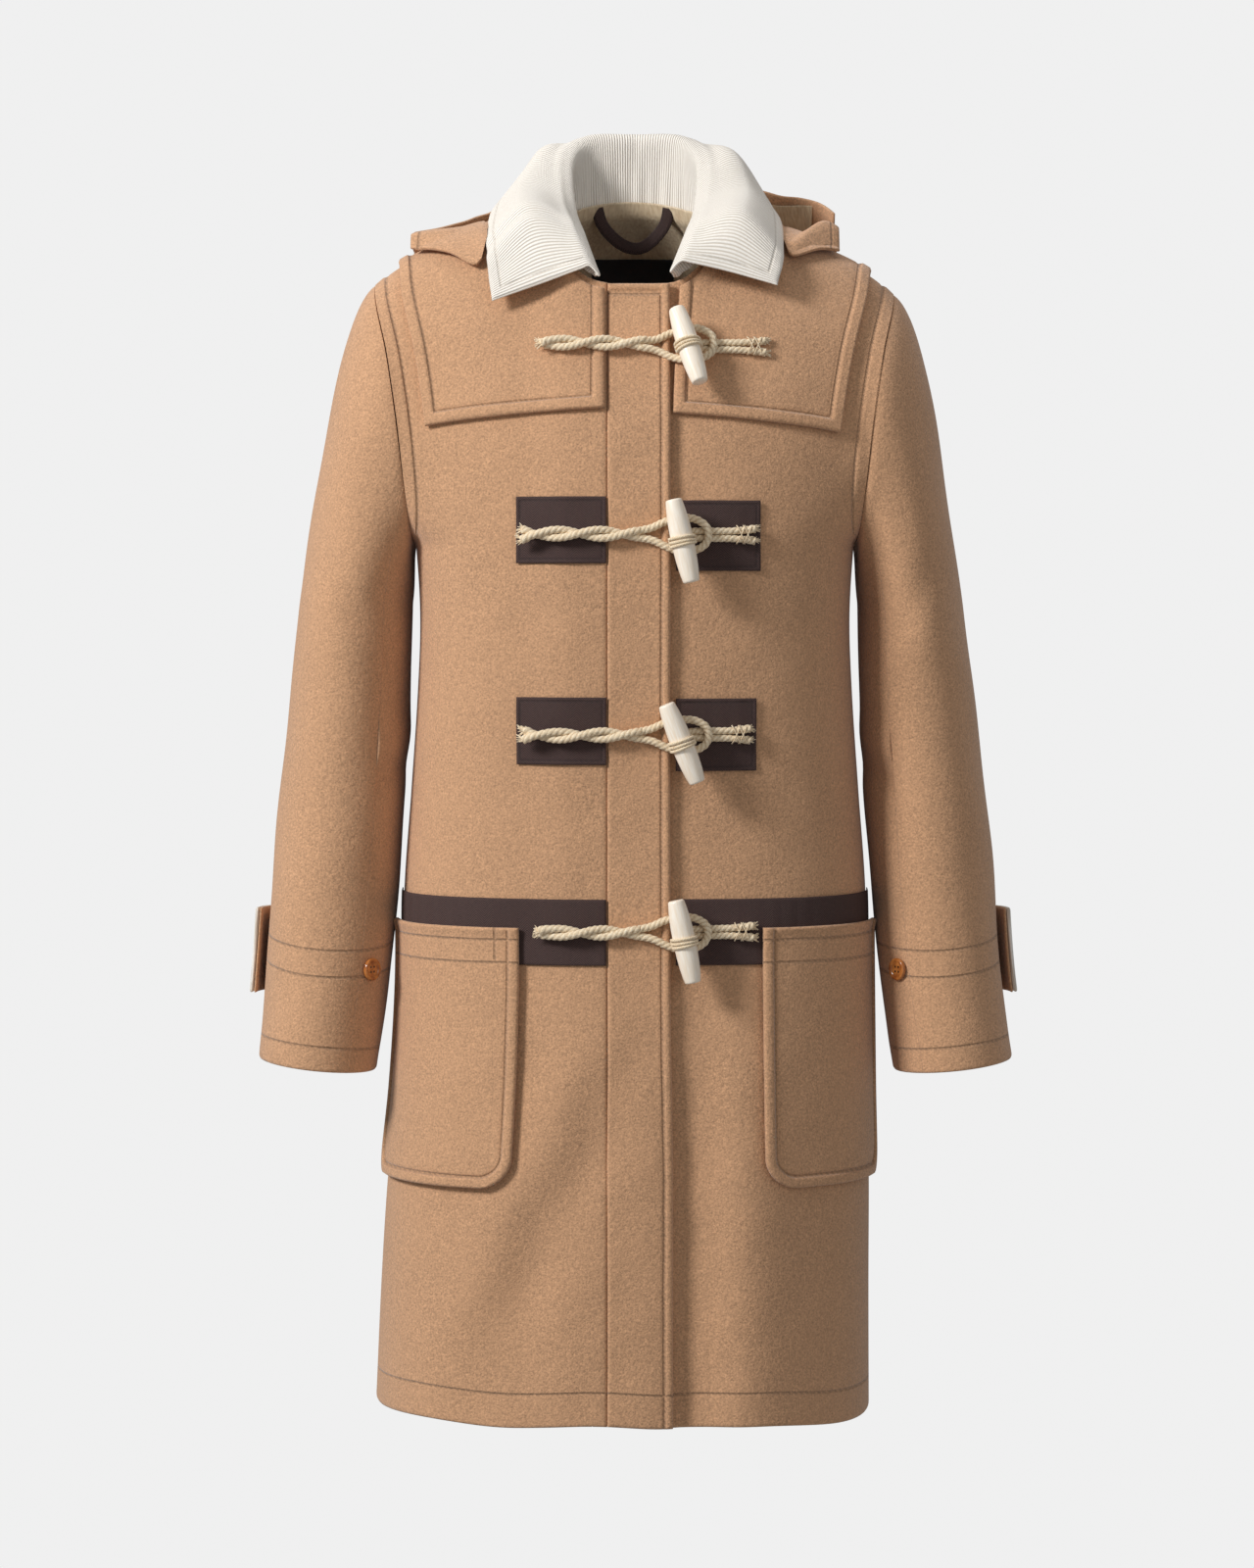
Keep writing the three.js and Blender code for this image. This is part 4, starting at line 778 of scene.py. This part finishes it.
def hoodGrid(us, firstT, lastT, step):
    sections = between(hoodTable, us).reshape(-1, 7, 2)
    xs = between(hoodXs, us)
    ends = ease(80, 118, np.abs(xs))
    foot, lip, trough, nape, low, rear, rim = (sections[:, k] for k in range(7))
    wide = np.minimum(mix(11, 13, ends), (rear[:, 0] - nape[:, 0]) * mix(0.22, 0.27, ends))
    up = wide * mix(1.2, 0.7, ends)
    fore, aft = low + np.stack([-wide, up], 1), low + np.stack([wide, up], 1)
    spots = np.stack([foot, lip, trough, nape, fore, low, aft, rear, rim], axis=1)
    far = length(np.diff(spots, axis=1)).cumsum(axis=1)
    far = np.concatenate([np.zeros((len(us), 1)), far], axis=1)
    places = spaced((far[len(us) // 2, -1]) * (lastT - firstT) / 8, step)
    columns = []
    for k in range(len(us)):
        a, b = np.interp([firstT, lastT], np.arange(9), far[k])
        at = mix(a, b, places)
        columns.append(stack(xs[k], *(column(far[k], spots[k, :, i], at) for i in (0, 1))))
    grid = np.stack(columns, axis=1)
    return clearOfBody(grid, mix(10.6, 14, ease(40, 80, grid[..., 1])))


def hoodColumns(first, last, step):
    fine = np.linspace(first, last, 600)
    xs = between(hoodXs, fine)
    return np.interp(mix(xs[0], xs[-1], spaced(xs[-1] - xs[0], step)), xs, fine)


hood = {"cloth": 2.8, "gap": 0.5, "lining": 0.8, "rimStitch": 22}
grid = hoodGrid(hoodColumns(0, 14, 3.2), 0, 8, 3.6)
reach = reachOf(grid)
ends = np.minimum(reach["left"], reach["right"])
lines = [reach["bottom"] - hood["rimStitch"], within(reach["bottom"] > 30, ends - 8)]
soft = 1.0 * np.sin(grid[..., 0] * 0.07 + 1) * np.sin(reach["top"] * 0.05)
wall("hood", grid, hood["cloth"] / 2, -hood["cloth"] / 2, np.array([0, 0.2, 1.0]), "wool", lines, shift=soft)
start = hood["cloth"] / 2 + hood["gap"]
grid = hoodGrid(hoodColumns(1, 13, 3.2), 6, 7.9, 3.6)
reach = reachOf(grid)
soft = 0.9 * ripple(grid[..., 0] * 0.21 + np.sin(reach["top"] * 0.06))
wall("hood_lining", grid, start + hood["lining"], start, forward, "satin", shift=soft)

# Sleeves: height, outer side on the right and left, inner side, half depth and middle
sleeveTable = np.array([
    [-672, 305, 306, 210, 59, -33], [-600, 300, 297, 200, 62, -20], [-500, 293.5, 291, 190.5, 66, -6],
    [-400, 284, 280, 184.5, 70, 2], [-300, 273.5, 267, 181.5, 74, 4],
], float)
sleeve = {"start": -300, "cuff": -672, "cap": 0.45, "front": -35, "back": 215, "gap": 0.02}
sleeveSides = {"right": -1, "left": 1}


def sleeveAt(k, z):
    return column(sleeveTable[:, 0], sleeveTable[:, k], z)


def sleeveMiddle(side, z):
    return side * (sleeveAt(1 if side < 0 else 2, z) + sleeveAt(3, z)) / 2


def armholeEdge(side, angle):
    top = shoulderZ(np.array(float(side)))
    z = mix(shape["armpitZ"], top, (1 + sine(angle)) / 2)
    turn = turnOf(top - z)
    xPart = np.full(turn.shape, float(side))
    front = (cosine(angle) > 0)[..., None]
    return np.where(front, bodyPoint(-1, xPart, turn), bodyPoint(1, xPart, turn))


def sleeveRing(side, angle, z):
    half = (sleeveAt(1 if side < 0 else 2, z) - sleeveAt(3, z)) / 2
    across = half * sine(angle)
    rise = 0.11 * ease(sleeve["start"], sleeve["cuff"], z) * across
    y = sleeveAt(5, z) - sleeveAt(4, z) * cosine(angle)
    return stack(sleeveMiddle(side, z) + side * across, y, z + rise)


# Above the tube each line is a Hermite curve from the armhole to the tube's first ring
def sleevePoint(side, angle, w):
    angle, w = np.broadcast_arrays(np.asarray(angle, float), np.asarray(w, float))
    cap = sleeve["cap"]
    z = mix(sleeve["start"], sleeve["cuff"], np.clip((w - cap) / (1 - cap), 0, 1))
    tube = sleeveRing(side, angle, z)
    t = np.clip(w / cap, 0, 1)[..., None]
    high = (1 + sine(angle)) / 2
    start = armholeEdge(side, angle) + [side * 0.9, 0, 0]
    end = sleeveRing(side, angle, np.full(angle.shape, float(sleeve["start"])))
    leave = stack(side * mix(0.25, 0.84, high), -0.25 * cosine(angle), -mix(1, 0.54, high))
    leave = unit(leave) * mix(30, 100, high)[..., None]
    arrive = np.array([side * 0.15, 0, -1]) / np.hypot(0.15, 1)
    arrive = arrive * (length(end - start) * 1.15)[..., None]
    t2, t3 = t**2, t**3
    upper = (start * (2 * t3 - 3 * t2 + 1) + leave * (t3 - 2 * t2 + t)
             + end * (3 * t2 - 2 * t3) + arrive * (t3 - t2))
    return np.where((w >= cap)[..., None], tube, upper)


def tubeShare(z):
    return sleeve["cap"] + (1 - sleeve["cap"]) * (z - sleeve["start"]) / (sleeve["cuff"] - sleeve["start"])


# Soft creases: bells along slanted lines round the elbow and under the cap
def sleeveCreases(side, angle, z):
    turn = np.radians(angle)
    made = 2.4 * bell(z + 430 + 26 * np.sin(turn), 0, 14) * bell(angle, 330, 70)
    made = made - 2.2 * bell(z + 462 + 30 * np.sin(turn), 0, 12) * bell(angle, 330, 80)
    made = made + 2.0 * bell(z + 372 - 40 * np.cos(turn), 0, 18) * bell(angle, -20, 50)
    made = made - 1.8 * bell(z + 300 - 60 * np.sin(turn), 0, 20) * bell(angle, 0, 45)
    return made + 0.7 * np.sin(z * 0.041 + side) * np.sin(turn * 3 + z * 0.013)


sleeveRows = np.interp(spaced(742, 5.4) * 742, np.linspace(0, 742, 12),
                       np.array([0, 0.045, 0.1, 0.17, 0.25, 0.34, 0.45, 0.56, 0.67, 0.78, 0.89, 1]))
for name, side in sleeveSides.items():
    for kind, first, last, around in (("top", sleeve["front"], sleeve["back"], 330),
                                      ("under", sleeve["back"], sleeve["front"] + 360, 150)):
        angles = mix(first + sleeve["gap"], last - sleeve["gap"], spaced(around, 5))
        angle, w = np.meshgrid(angles, sleeveRows)
        grid = sleevePoint(side, angle, w)
        z = grid[..., 2]
        centre = stack(sleeveMiddle(side, np.minimum(z, sleeve["start"])), 3 + 0 * z, np.minimum(z, -180))
        reach = reachOf(grid)
        bend = 8 * cosine(angle + 25)
        lines = [within(w > 0.5, z + 570 + bend), within(w > 0.5, z + 591 + bend), reach["bottom"] - 19]
        shift = sleeveCreases(side, angle, z) * ease(0.06, 0.2, w) * ease(1, 0.96, w)
        wall(f"sleeve_{kind}_{name}", grid, 0, -3, grid - centre, "wool", lines, shift=shift,
             flush=["left", "right"])

# Cuff tabs, sewn at the back and standing off at their free end, with a corduroy facing
tab = {
    "top": -552, "bottom": -621, "sewnAt": 165, "freeAt": 82, "off": 6, "wool": 2.6, "corduroy": 3.2,
    "stitch": 6,
}
for name, side in sleeveSides.items():
    angle, w = np.meshgrid(mix(tab["sewnAt"], tab["freeAt"], spaced(90, 2.4)),
                           mix(tubeShare(tab["top"]), tubeShare(tab["bottom"]), spaced(70, 2.4)))
    grid = sleevePoint(side, angle, w)
    centre = stack(sleeveMiddle(side, grid[..., 2]), 3 + 0 * w, grid[..., 2])
    stand = mix(0.8, tab["off"], ((tab["sewnAt"] - angle) / (tab["sewnAt"] - tab["freeAt"])) ** 2)
    reach = reachOf(grid)
    edgeOf = edgeDistance(grid, ["right", "top", "bottom"])
    lines = [edgeOf - tab["stitch"]]
    wall(f"cuff_tab_{name}", grid, stand + tab["wool"], stand, grid - centre, "wool", lines)
    stand = stand + tab["wool"] + 0.3
    wall(f"cuff_tab_facing_{name}", grid, stand + tab["corduroy"], stand, grid - centre, "corduroy", lines,
         {"wale": reach["left"]})


# Grid on a front from a real x to a share of the way to the side seam
def wrappedGrid(front, start, to, us, vs, top, bottom, inset=0):
    first = columnAt(front, start, (top + bottom) / 2)
    u, v = np.meshgrid(us, vs)
    narrow = inset / 230
    z = mix(top, bottom, v)
    level = levelOf(-1, np.full(z.shape, 0.5 * front["side"]), z)
    return frontPoint(front, mix(first + narrow, to - narrow, u), level)


band = {"top": -532, "bottom": -584, "inner": 0.9, "outer": 2.1, "to": 0.995}
for name, start in (("right", -22.6), ("left", 32)):
    grid = wrappedGrid(edges[name], start, band["to"], spaced(230, 4), spaced(52, 2.5, 5), band["top"],
                       band["bottom"])
    wall(f"waist_band_{name}", grid, band["outer"], band["inner"], forward, "twill")

# Patch pockets with a raised edge and round lower corners
pocket = {"top": -555, "bottom": -761, "inner": 2.7, "outer": 5.6, "welt": 9, "corner": 25, "to": 0.93}
for name, start in (("right", -92), ("left", 100)):
    deep = pocket["top"] - pocket["bottom"]
    vs = spaced(deep, 3)
    low = np.clip((vs * deep - deep + pocket["corner"]) / pocket["corner"], 0, 1)
    inset = pocket["corner"] * (1 - np.sqrt(1 - (0.985 * low) ** 2))
    grid = wrappedGrid(edges[name], start, pocket["to"], spaced(115, 2.6), vs, pocket["top"],
                       pocket["bottom"], inset[:, None])
    reach = reachOf(grid)
    edgeOf = edgeDistance(grid)
    raised = pocket["outer"] + welt(edgeOf, pocket["welt"], 1.9, 1.1) + 1.5 * ease(9, 0, reach["top"])
    lines = [within(reach["top"] > 2, edgeOf - pocket["welt"]), reach["top"] - 10, reach["top"] - 28]
    if name == "right":
        lines.append(within(reach["top"] < 28, reach["left"] - 19))
    sag = -1.1 * bell(reach["top"], 20, 16) * bell(grid[..., 0], grid[..., 0].mean(), 30)
    wall(f"pocket_{name}", grid, raised, pocket["inner"], forward, "wool", lines, shift=sag * 0.5)

patches = {
    ("upper", "right"): [-93, -22.6, -216, -268, lapLift],
    ("lower", "right"): [-93, -22.6, -373, -426, lapLift],
    ("upper", "left"): [32, 98, -219, -274, None],
    ("lower", "left"): [32, 95, -374, -431, None],
}
for (place, name), (left, right, top, bottom, lift) in patches.items():
    grid = laidGrid(-1, left, right, top, bottom, lift, edge=6)
    edgeOf = edgeDistance(grid, ["left", "right", "top", "bottom"])
    curl = 0.9 * ease(4, 0, edgeOf) * ripple(grid[..., 0] * 0.13 + grid[..., 2] * 0.11)
    wall(f"patch_{place}_{name}", grid, 2 + curl, 0.8, forward, "twill", [edgeOf - 3.2])


# Faces round a row of rings, with a flat end at each side
def tubeFaces(rings, sides):
    k, s = np.meshgrid(np.arange(rings - 1) * sides, np.arange(sides), indexing="ij")
    t = (s + 1) % sides
    around = np.stack([k + s, k + t, k + sides + t, k + sides + s], -1).reshape(-1, 4).tolist()
    return around + [list(range(sides))[::-1], list(range((rings - 1) * sides, rings * sides))]


# Form of revolution about an axis through heights and radii
def revolved(centre, axis, sideways, front, heights, radii, sides):
    angle = np.arange(sides) * 2 * pi / sides
    ring = sideways * np.cos(angle)[:, None] + front * np.sin(angle)[:, None]
    points = centre + axis * heights[:, None, None] + ring * radii[:, None, None]
    across, along = np.outer(radii, np.cos(angle)).ravel(), np.outer(radii, np.sin(angle)).ravel()
    return points.reshape(-1, 3), tubeFaces(len(heights), sides), across, along


# Closed cord along a path with upward directions. Its radius follows three lobes that turn
# once in each pitch: r * (0.8 + 0.2 |cos(1.5 (angle - turn))|). It also returns a groove mask for painted
# shade
def cord(path, up, far, radius, pitch=13.0, sides=15, phase=0.0):
    along = unit(np.gradient(path, axis=0))
    across = unit(np.cross(along, up))
    out = np.cross(across, along)
    angle = np.arange(sides) * 2 * pi / sides
    lobe = np.abs(np.cos(1.5 * (angle[None] - 2 * pi * far[:, None] / pitch - phase)))
    r = np.broadcast_to(radius, (len(path),))[:, None] * (0.8 + 0.2 * lobe)
    ring = across[:, None] * np.cos(angle)[:, None] + out[:, None] * np.sin(angle)[:, None]
    points = path[:, None] + r[..., None] * ring
    return points.reshape(-1, 3), tubeFaces(len(path), sides), ((1 - lobe) ** 1.5).ravel()


def roped(name, parts):
    faces, count = [], 0
    for points, own, _ in parts:
        faces += [[i + count for i in face] for face in own]
        count += len(points)
    # groove holds the mask for the painted shade between the strands
    points, _, groove = zip(*parts)
    dressed(name, np.concatenate(points), faces, "rope", {"groove": np.concatenate(groove)})


# Points over the front at real x, a height z and a distance from the body, with outward directions
def over(x, z, height):
    x, z, height = np.broadcast_arrays(*(np.asarray(v, float) for v in (x, z, height)))
    sideways, upward = (bodyAt(-1, x + a, z + b) - bodyAt(-1, x - a, z - b) for a, b in ((5, 0), (0, 5)))
    up = unit(np.cross(sideways, upward))
    up *= np.where(up[..., 1:2] > 0, -1, 1)
    return bodyAt(-1, x, z) + up * height[..., None], up


fastenings = [
    {"z": -99.5, "from": -78, "to": 107, "toggleX": 42, "slant": 17, "under": 4.3, "lapped": 8.3},
    {"z": -246, "from": -91, "to": 97.5, "toggleX": 37, "slant": 11.5, "under": 2.3, "lapped": 6.3},
    {"z": -402, "from": -90, "to": 94, "toggleX": 37, "slant": 20.5, "under": 2.3, "lapped": 6.3},
    {"z": -558, "from": -78.5, "to": 97, "toggleX": 37, "slant": 11.6, "under": 2.4, "lapped": 6.4},
]
rope = {
    "radius": 3.2, "half": 3.0, "apart": 3.1, "twist": 66, "deep": 1.9, "eye": 30, "fray": 7, "wrap": 1.35,
    "strand": 2.9, "step": 0.85, "thread": 0.55,
}
toggle = {"half": 33, "end": 6.1, "swell": 2.8, "rim": 5.4, "lower": 6, "sides": 32}
random = np.random.default_rng(7)


# Loose fibres fanning out from the end of a cord
def fray(x, z, height, direction, count, spread):
    made = []
    for _ in range(count):
        reach = random.uniform(0.5, 1) * rope["fray"]
        lean, lift = random.uniform(-spread, spread), random.uniform(-1.8, 0.6)
        t = np.linspace(0, 1, 6)
        bend = random.uniform(-2, 2)
        path, up = over(x + direction * reach * t, z + lean * t + bend * t * (1 - t), height + lift * t)
        made.append(cord(path, up, t * reach, np.linspace(0.75, 0.3, 6), 5, 5))
    return made


for number, f in enumerate(fastenings, 1):
    onFlap, onPlacket = f["lapped"] + rope["half"], placket["outer"] + 0.2 + rope["half"]
    high = max(onPlacket, f["under"] + 4.5 + rope["half"])
    tx = f["toggleX"]
    eyeFrom = tx - rope["eye"]
    twisted = np.arange(f["from"] + 5, eyeFrom, 3.0)
    flatHeight = np.interp(twisted, [-52, -30, -14], [onFlap, onFlap - 0.2, max(onPlacket, onFlap - 1.4)])
    flatHeight = flatHeight + 2 * ease(eyeFrom, eyeFrom - 8, twisted)
    turn = 2 * pi * (eyeFrom - twisted) / rope["twist"]
    eye = np.array([[-24, 5, onPlacket], [-14, 9.4, onPlacket + 0.2], [-3, 12, high - 0.4], [8, 11.8, high],
                    [17, 7, high + 0.2], [19.5, 0, high + 0.2], [17, -7.5, high], [8, -12.5, high],
                    [-3, -12.8, high - 0.4], [-13, -9.6, onPlacket + 0.2], [-23, -5, onPlacket]])
    spread = 1 + 0.5 * ease(f["from"] + 16, f["from"] + 5, twisted)
    aside, lift = rope["apart"] * spread * np.cos(turn), rope["deep"] * np.sin(turn)
    strands = [stack(twisted, side * aside, flatHeight + side * lift) for side in (1, -1)]
    spots = np.concatenate([strands[0], eye + [tx, 0, 0], strands[1][::-1]])
    at, far = route(spots, rope["step"])
    path, up = over(at[:, 0], f["z"] + at[:, 1], at[:, 2])
    radius = rope["radius"] * (1 + 0.15 * bell(far, 2, 4) + 0.15 * bell(far, far[-1] - 2, 4))
    parts = [cord(path, up, far, radius)]
    for side in (0, 1):
        x, z, height = strands[side][0]
        parts += fray(x + 1.5, f["z"] + z, height, -1, 16, 5.0)
    roped(f"loop_cord_{number}", parts)

    # Toggle cord: two strands side by side, held down by crossing threads at their far end
    flat, axisHeight = f["under"] + 2.8, high + 10.8
    parts = []
    for side in (1, -1):
        spots = np.array([[f["to"] - 5, 4.6, flat], [f["to"] - 14, 3.6, flat], [tx + 36, 2.9, flat],
                          [tx + 14, 2.8, flat], [tx + 6, 2.4, flat + 1.4], [tx + 1.5, 1.9, axisHeight - 10]])
        spots = spots * [1, side, 1]
        at, far = route(spots, rope["step"])
        path, up = over(at[:, 0], f["z"] + at[:, 1], at[:, 2])
        parts.append(cord(path, up, far, rope["strand"] * (1 + 0.2 * bell(far, 0, 6)), phase=side))
        parts += fray(f["to"] - 7, f["z"] + side * 4.6, flat, 1, 14, 3.5)
        for k in range(2):
            t = np.linspace(-1, 1, 9)
            path, up = over(f["to"] - 11 - 5 * k + 3.2 * t, f["z"] + side * 7.2 * t, flat + 3.7 - 3.0 * t**4)
            parts.append(cord(path, up, t * 8, rope["thread"], 4, 6))
    lean = radians(f["slant"])

    def alongToggle(far):
        return over(tx - 1 + far * np.sin(lean), f["z"] - toggle["lower"] - far * np.cos(lean), axisHeight)[0]
    centre = alongToggle(0)
    axis = unit(alongToggle(20) - alongToggle(-20))
    sideways = unit(np.cross(axis, [0, -1, 0]))
    front = np.cross(sideways, axis)
    for k in (-1, 0, 1):
        angle = np.linspace(0, 2 * pi, 60)
        r = toggle["end"] + toggle["swell"] + 0.9
        path = (centre + axis * (k * 2.4 + 0.9 * np.sin(angle / 2 + k))[:, None]
                + sideways * (r * np.cos(angle))[:, None] + front * (r * np.sin(angle))[:, None])
        parts.append(cord(path, np.broadcast_to(axis, path.shape), angle * r, rope["wrap"], 6, 9))
    roped(f"toggle_cord_{number}", parts)

    # Toggle: a barrel of revolution with flat ends, r = end + swell (1 - (h / half)^2)^0.8
    half = toggle["half"]
    heights = np.concatenate([[-half, -half], np.linspace(0.6 - half, half - 0.6, 60), [half, half]])
    radii = toggle["end"] + toggle["swell"] * (1 - (heights / half) ** 2) ** 0.8
    radii[[0, -1]], radii[[1, -2]] = 0.02, toggle["rim"]
    points, faces, across, _ = revolved(centre, axis, sideways, front, heights, radii, toggle["sides"])
    values = {"across": across + 20 * number, "along": np.repeat(heights, toggle["sides"])}
    dressed(f"toggle_{number}", points, faces, "wood", values)
print("fastenings built")

# Cuff buttons with a rounded rim and a dished middle
button = {"angle": -46, "z": -590, "sides": 48}
for name, side in sleeveSides.items():
    w = tubeShare(button["z"])
    a, h = np.array(float(button["angle"])), np.array(w)
    out = np.cross(sleevePoint(side, a + 8, h) - sleevePoint(side, a - 8, h),
                   sleevePoint(side, a, h + 0.01) - sleevePoint(side, a, h - 0.01))
    out = unit(out) * (-1 if out[1] > 0 else 1)
    sideways = unit(np.cross(out, [0, 0, 1.0]))
    radii = np.array([0.02, 4, 7.6, 8.7, 9, 9, 8.6, 8, 7.2, 6.4, 5.8, 5.2, 4, 3, 2, 1, 0.02])
    heights = np.array([0, 0, 0, 0.5, 1.2, 2.6, 3.3, 3.6, 3.55, 3.1, 2.6, 2.4, 2.3, 2.3, 2.3, 2.3, 2.3])
    points, faces, across, along = revolved(sleevePoint(side, a, h) + out * 0.5, out, sideways,
                                            np.cross(sideways, out), heights, radii, button["sides"])
    faces = [face[::-1] for face in faces]
    dressed(f"cuff_button_{name}", points, faces, "horn", {"across": across, "along": along})

# Soft studio light from the upper left, inside a plain bright dome that only the camera sees
studio = {"world": 0.28, "background": 0.87, "key": 156, "fill": 11, "top": 18}
world = bpy.data.worlds.new("studio")
world.use_nodes = True
world.node_tree.nodes["Background"].inputs["Color"].default_value = (1, 1, 1, 1)
world.node_tree.nodes["Background"].inputs["Strength"].default_value = studio["world"]
scene.world = world
scene.view_settings.view_transform = "Standard"


def areaLight(name, place, power, size):
    data = bpy.data.lights.new(name, "AREA")
    data.energy, data.size = power, size
    light = bpy.data.objects.new(name, data)
    light.location = place
    toward = np.array([0, 0, -0.45]) - np.array(place)
    pitch = np.arctan2(np.hypot(toward[0], toward[1]), -toward[2])
    light.rotation_euler = (pitch, 0, np.arctan2(toward[1], toward[0]) - pi / 2)
    scene.collection.objects.link(light)


areaLight("key", (-3.0, -2.0, 1.7), studio["key"], 1.0)
areaLight("fill", (1.8, -3.2, 0.4), studio["fill"], 2.0)
areaLight("top", (0.2, 0.6, 2.4), studio["top"], 1.6)

bpy.ops.mesh.primitive_uv_sphere_add(radius=9, segments=48, ring_count=24)
dome = bpy.context.object
dome.name = "dome"
glow = bpy.data.materials.new("dome glow")
glow.use_nodes = True
glow.node_tree.nodes.clear()
emission = glow.node_tree.nodes.new("ShaderNodeEmission")
emission.inputs["Strength"].default_value = studio["background"]
output = glow.node_tree.nodes.new("ShaderNodeOutputMaterial")
glow.node_tree.links.new(emission.outputs[0], output.inputs[0])
dome.data.materials.append(glow)
dome.visible_diffuse = dome.visible_glossy = dome.visible_shadow = dome.visible_transmission = False
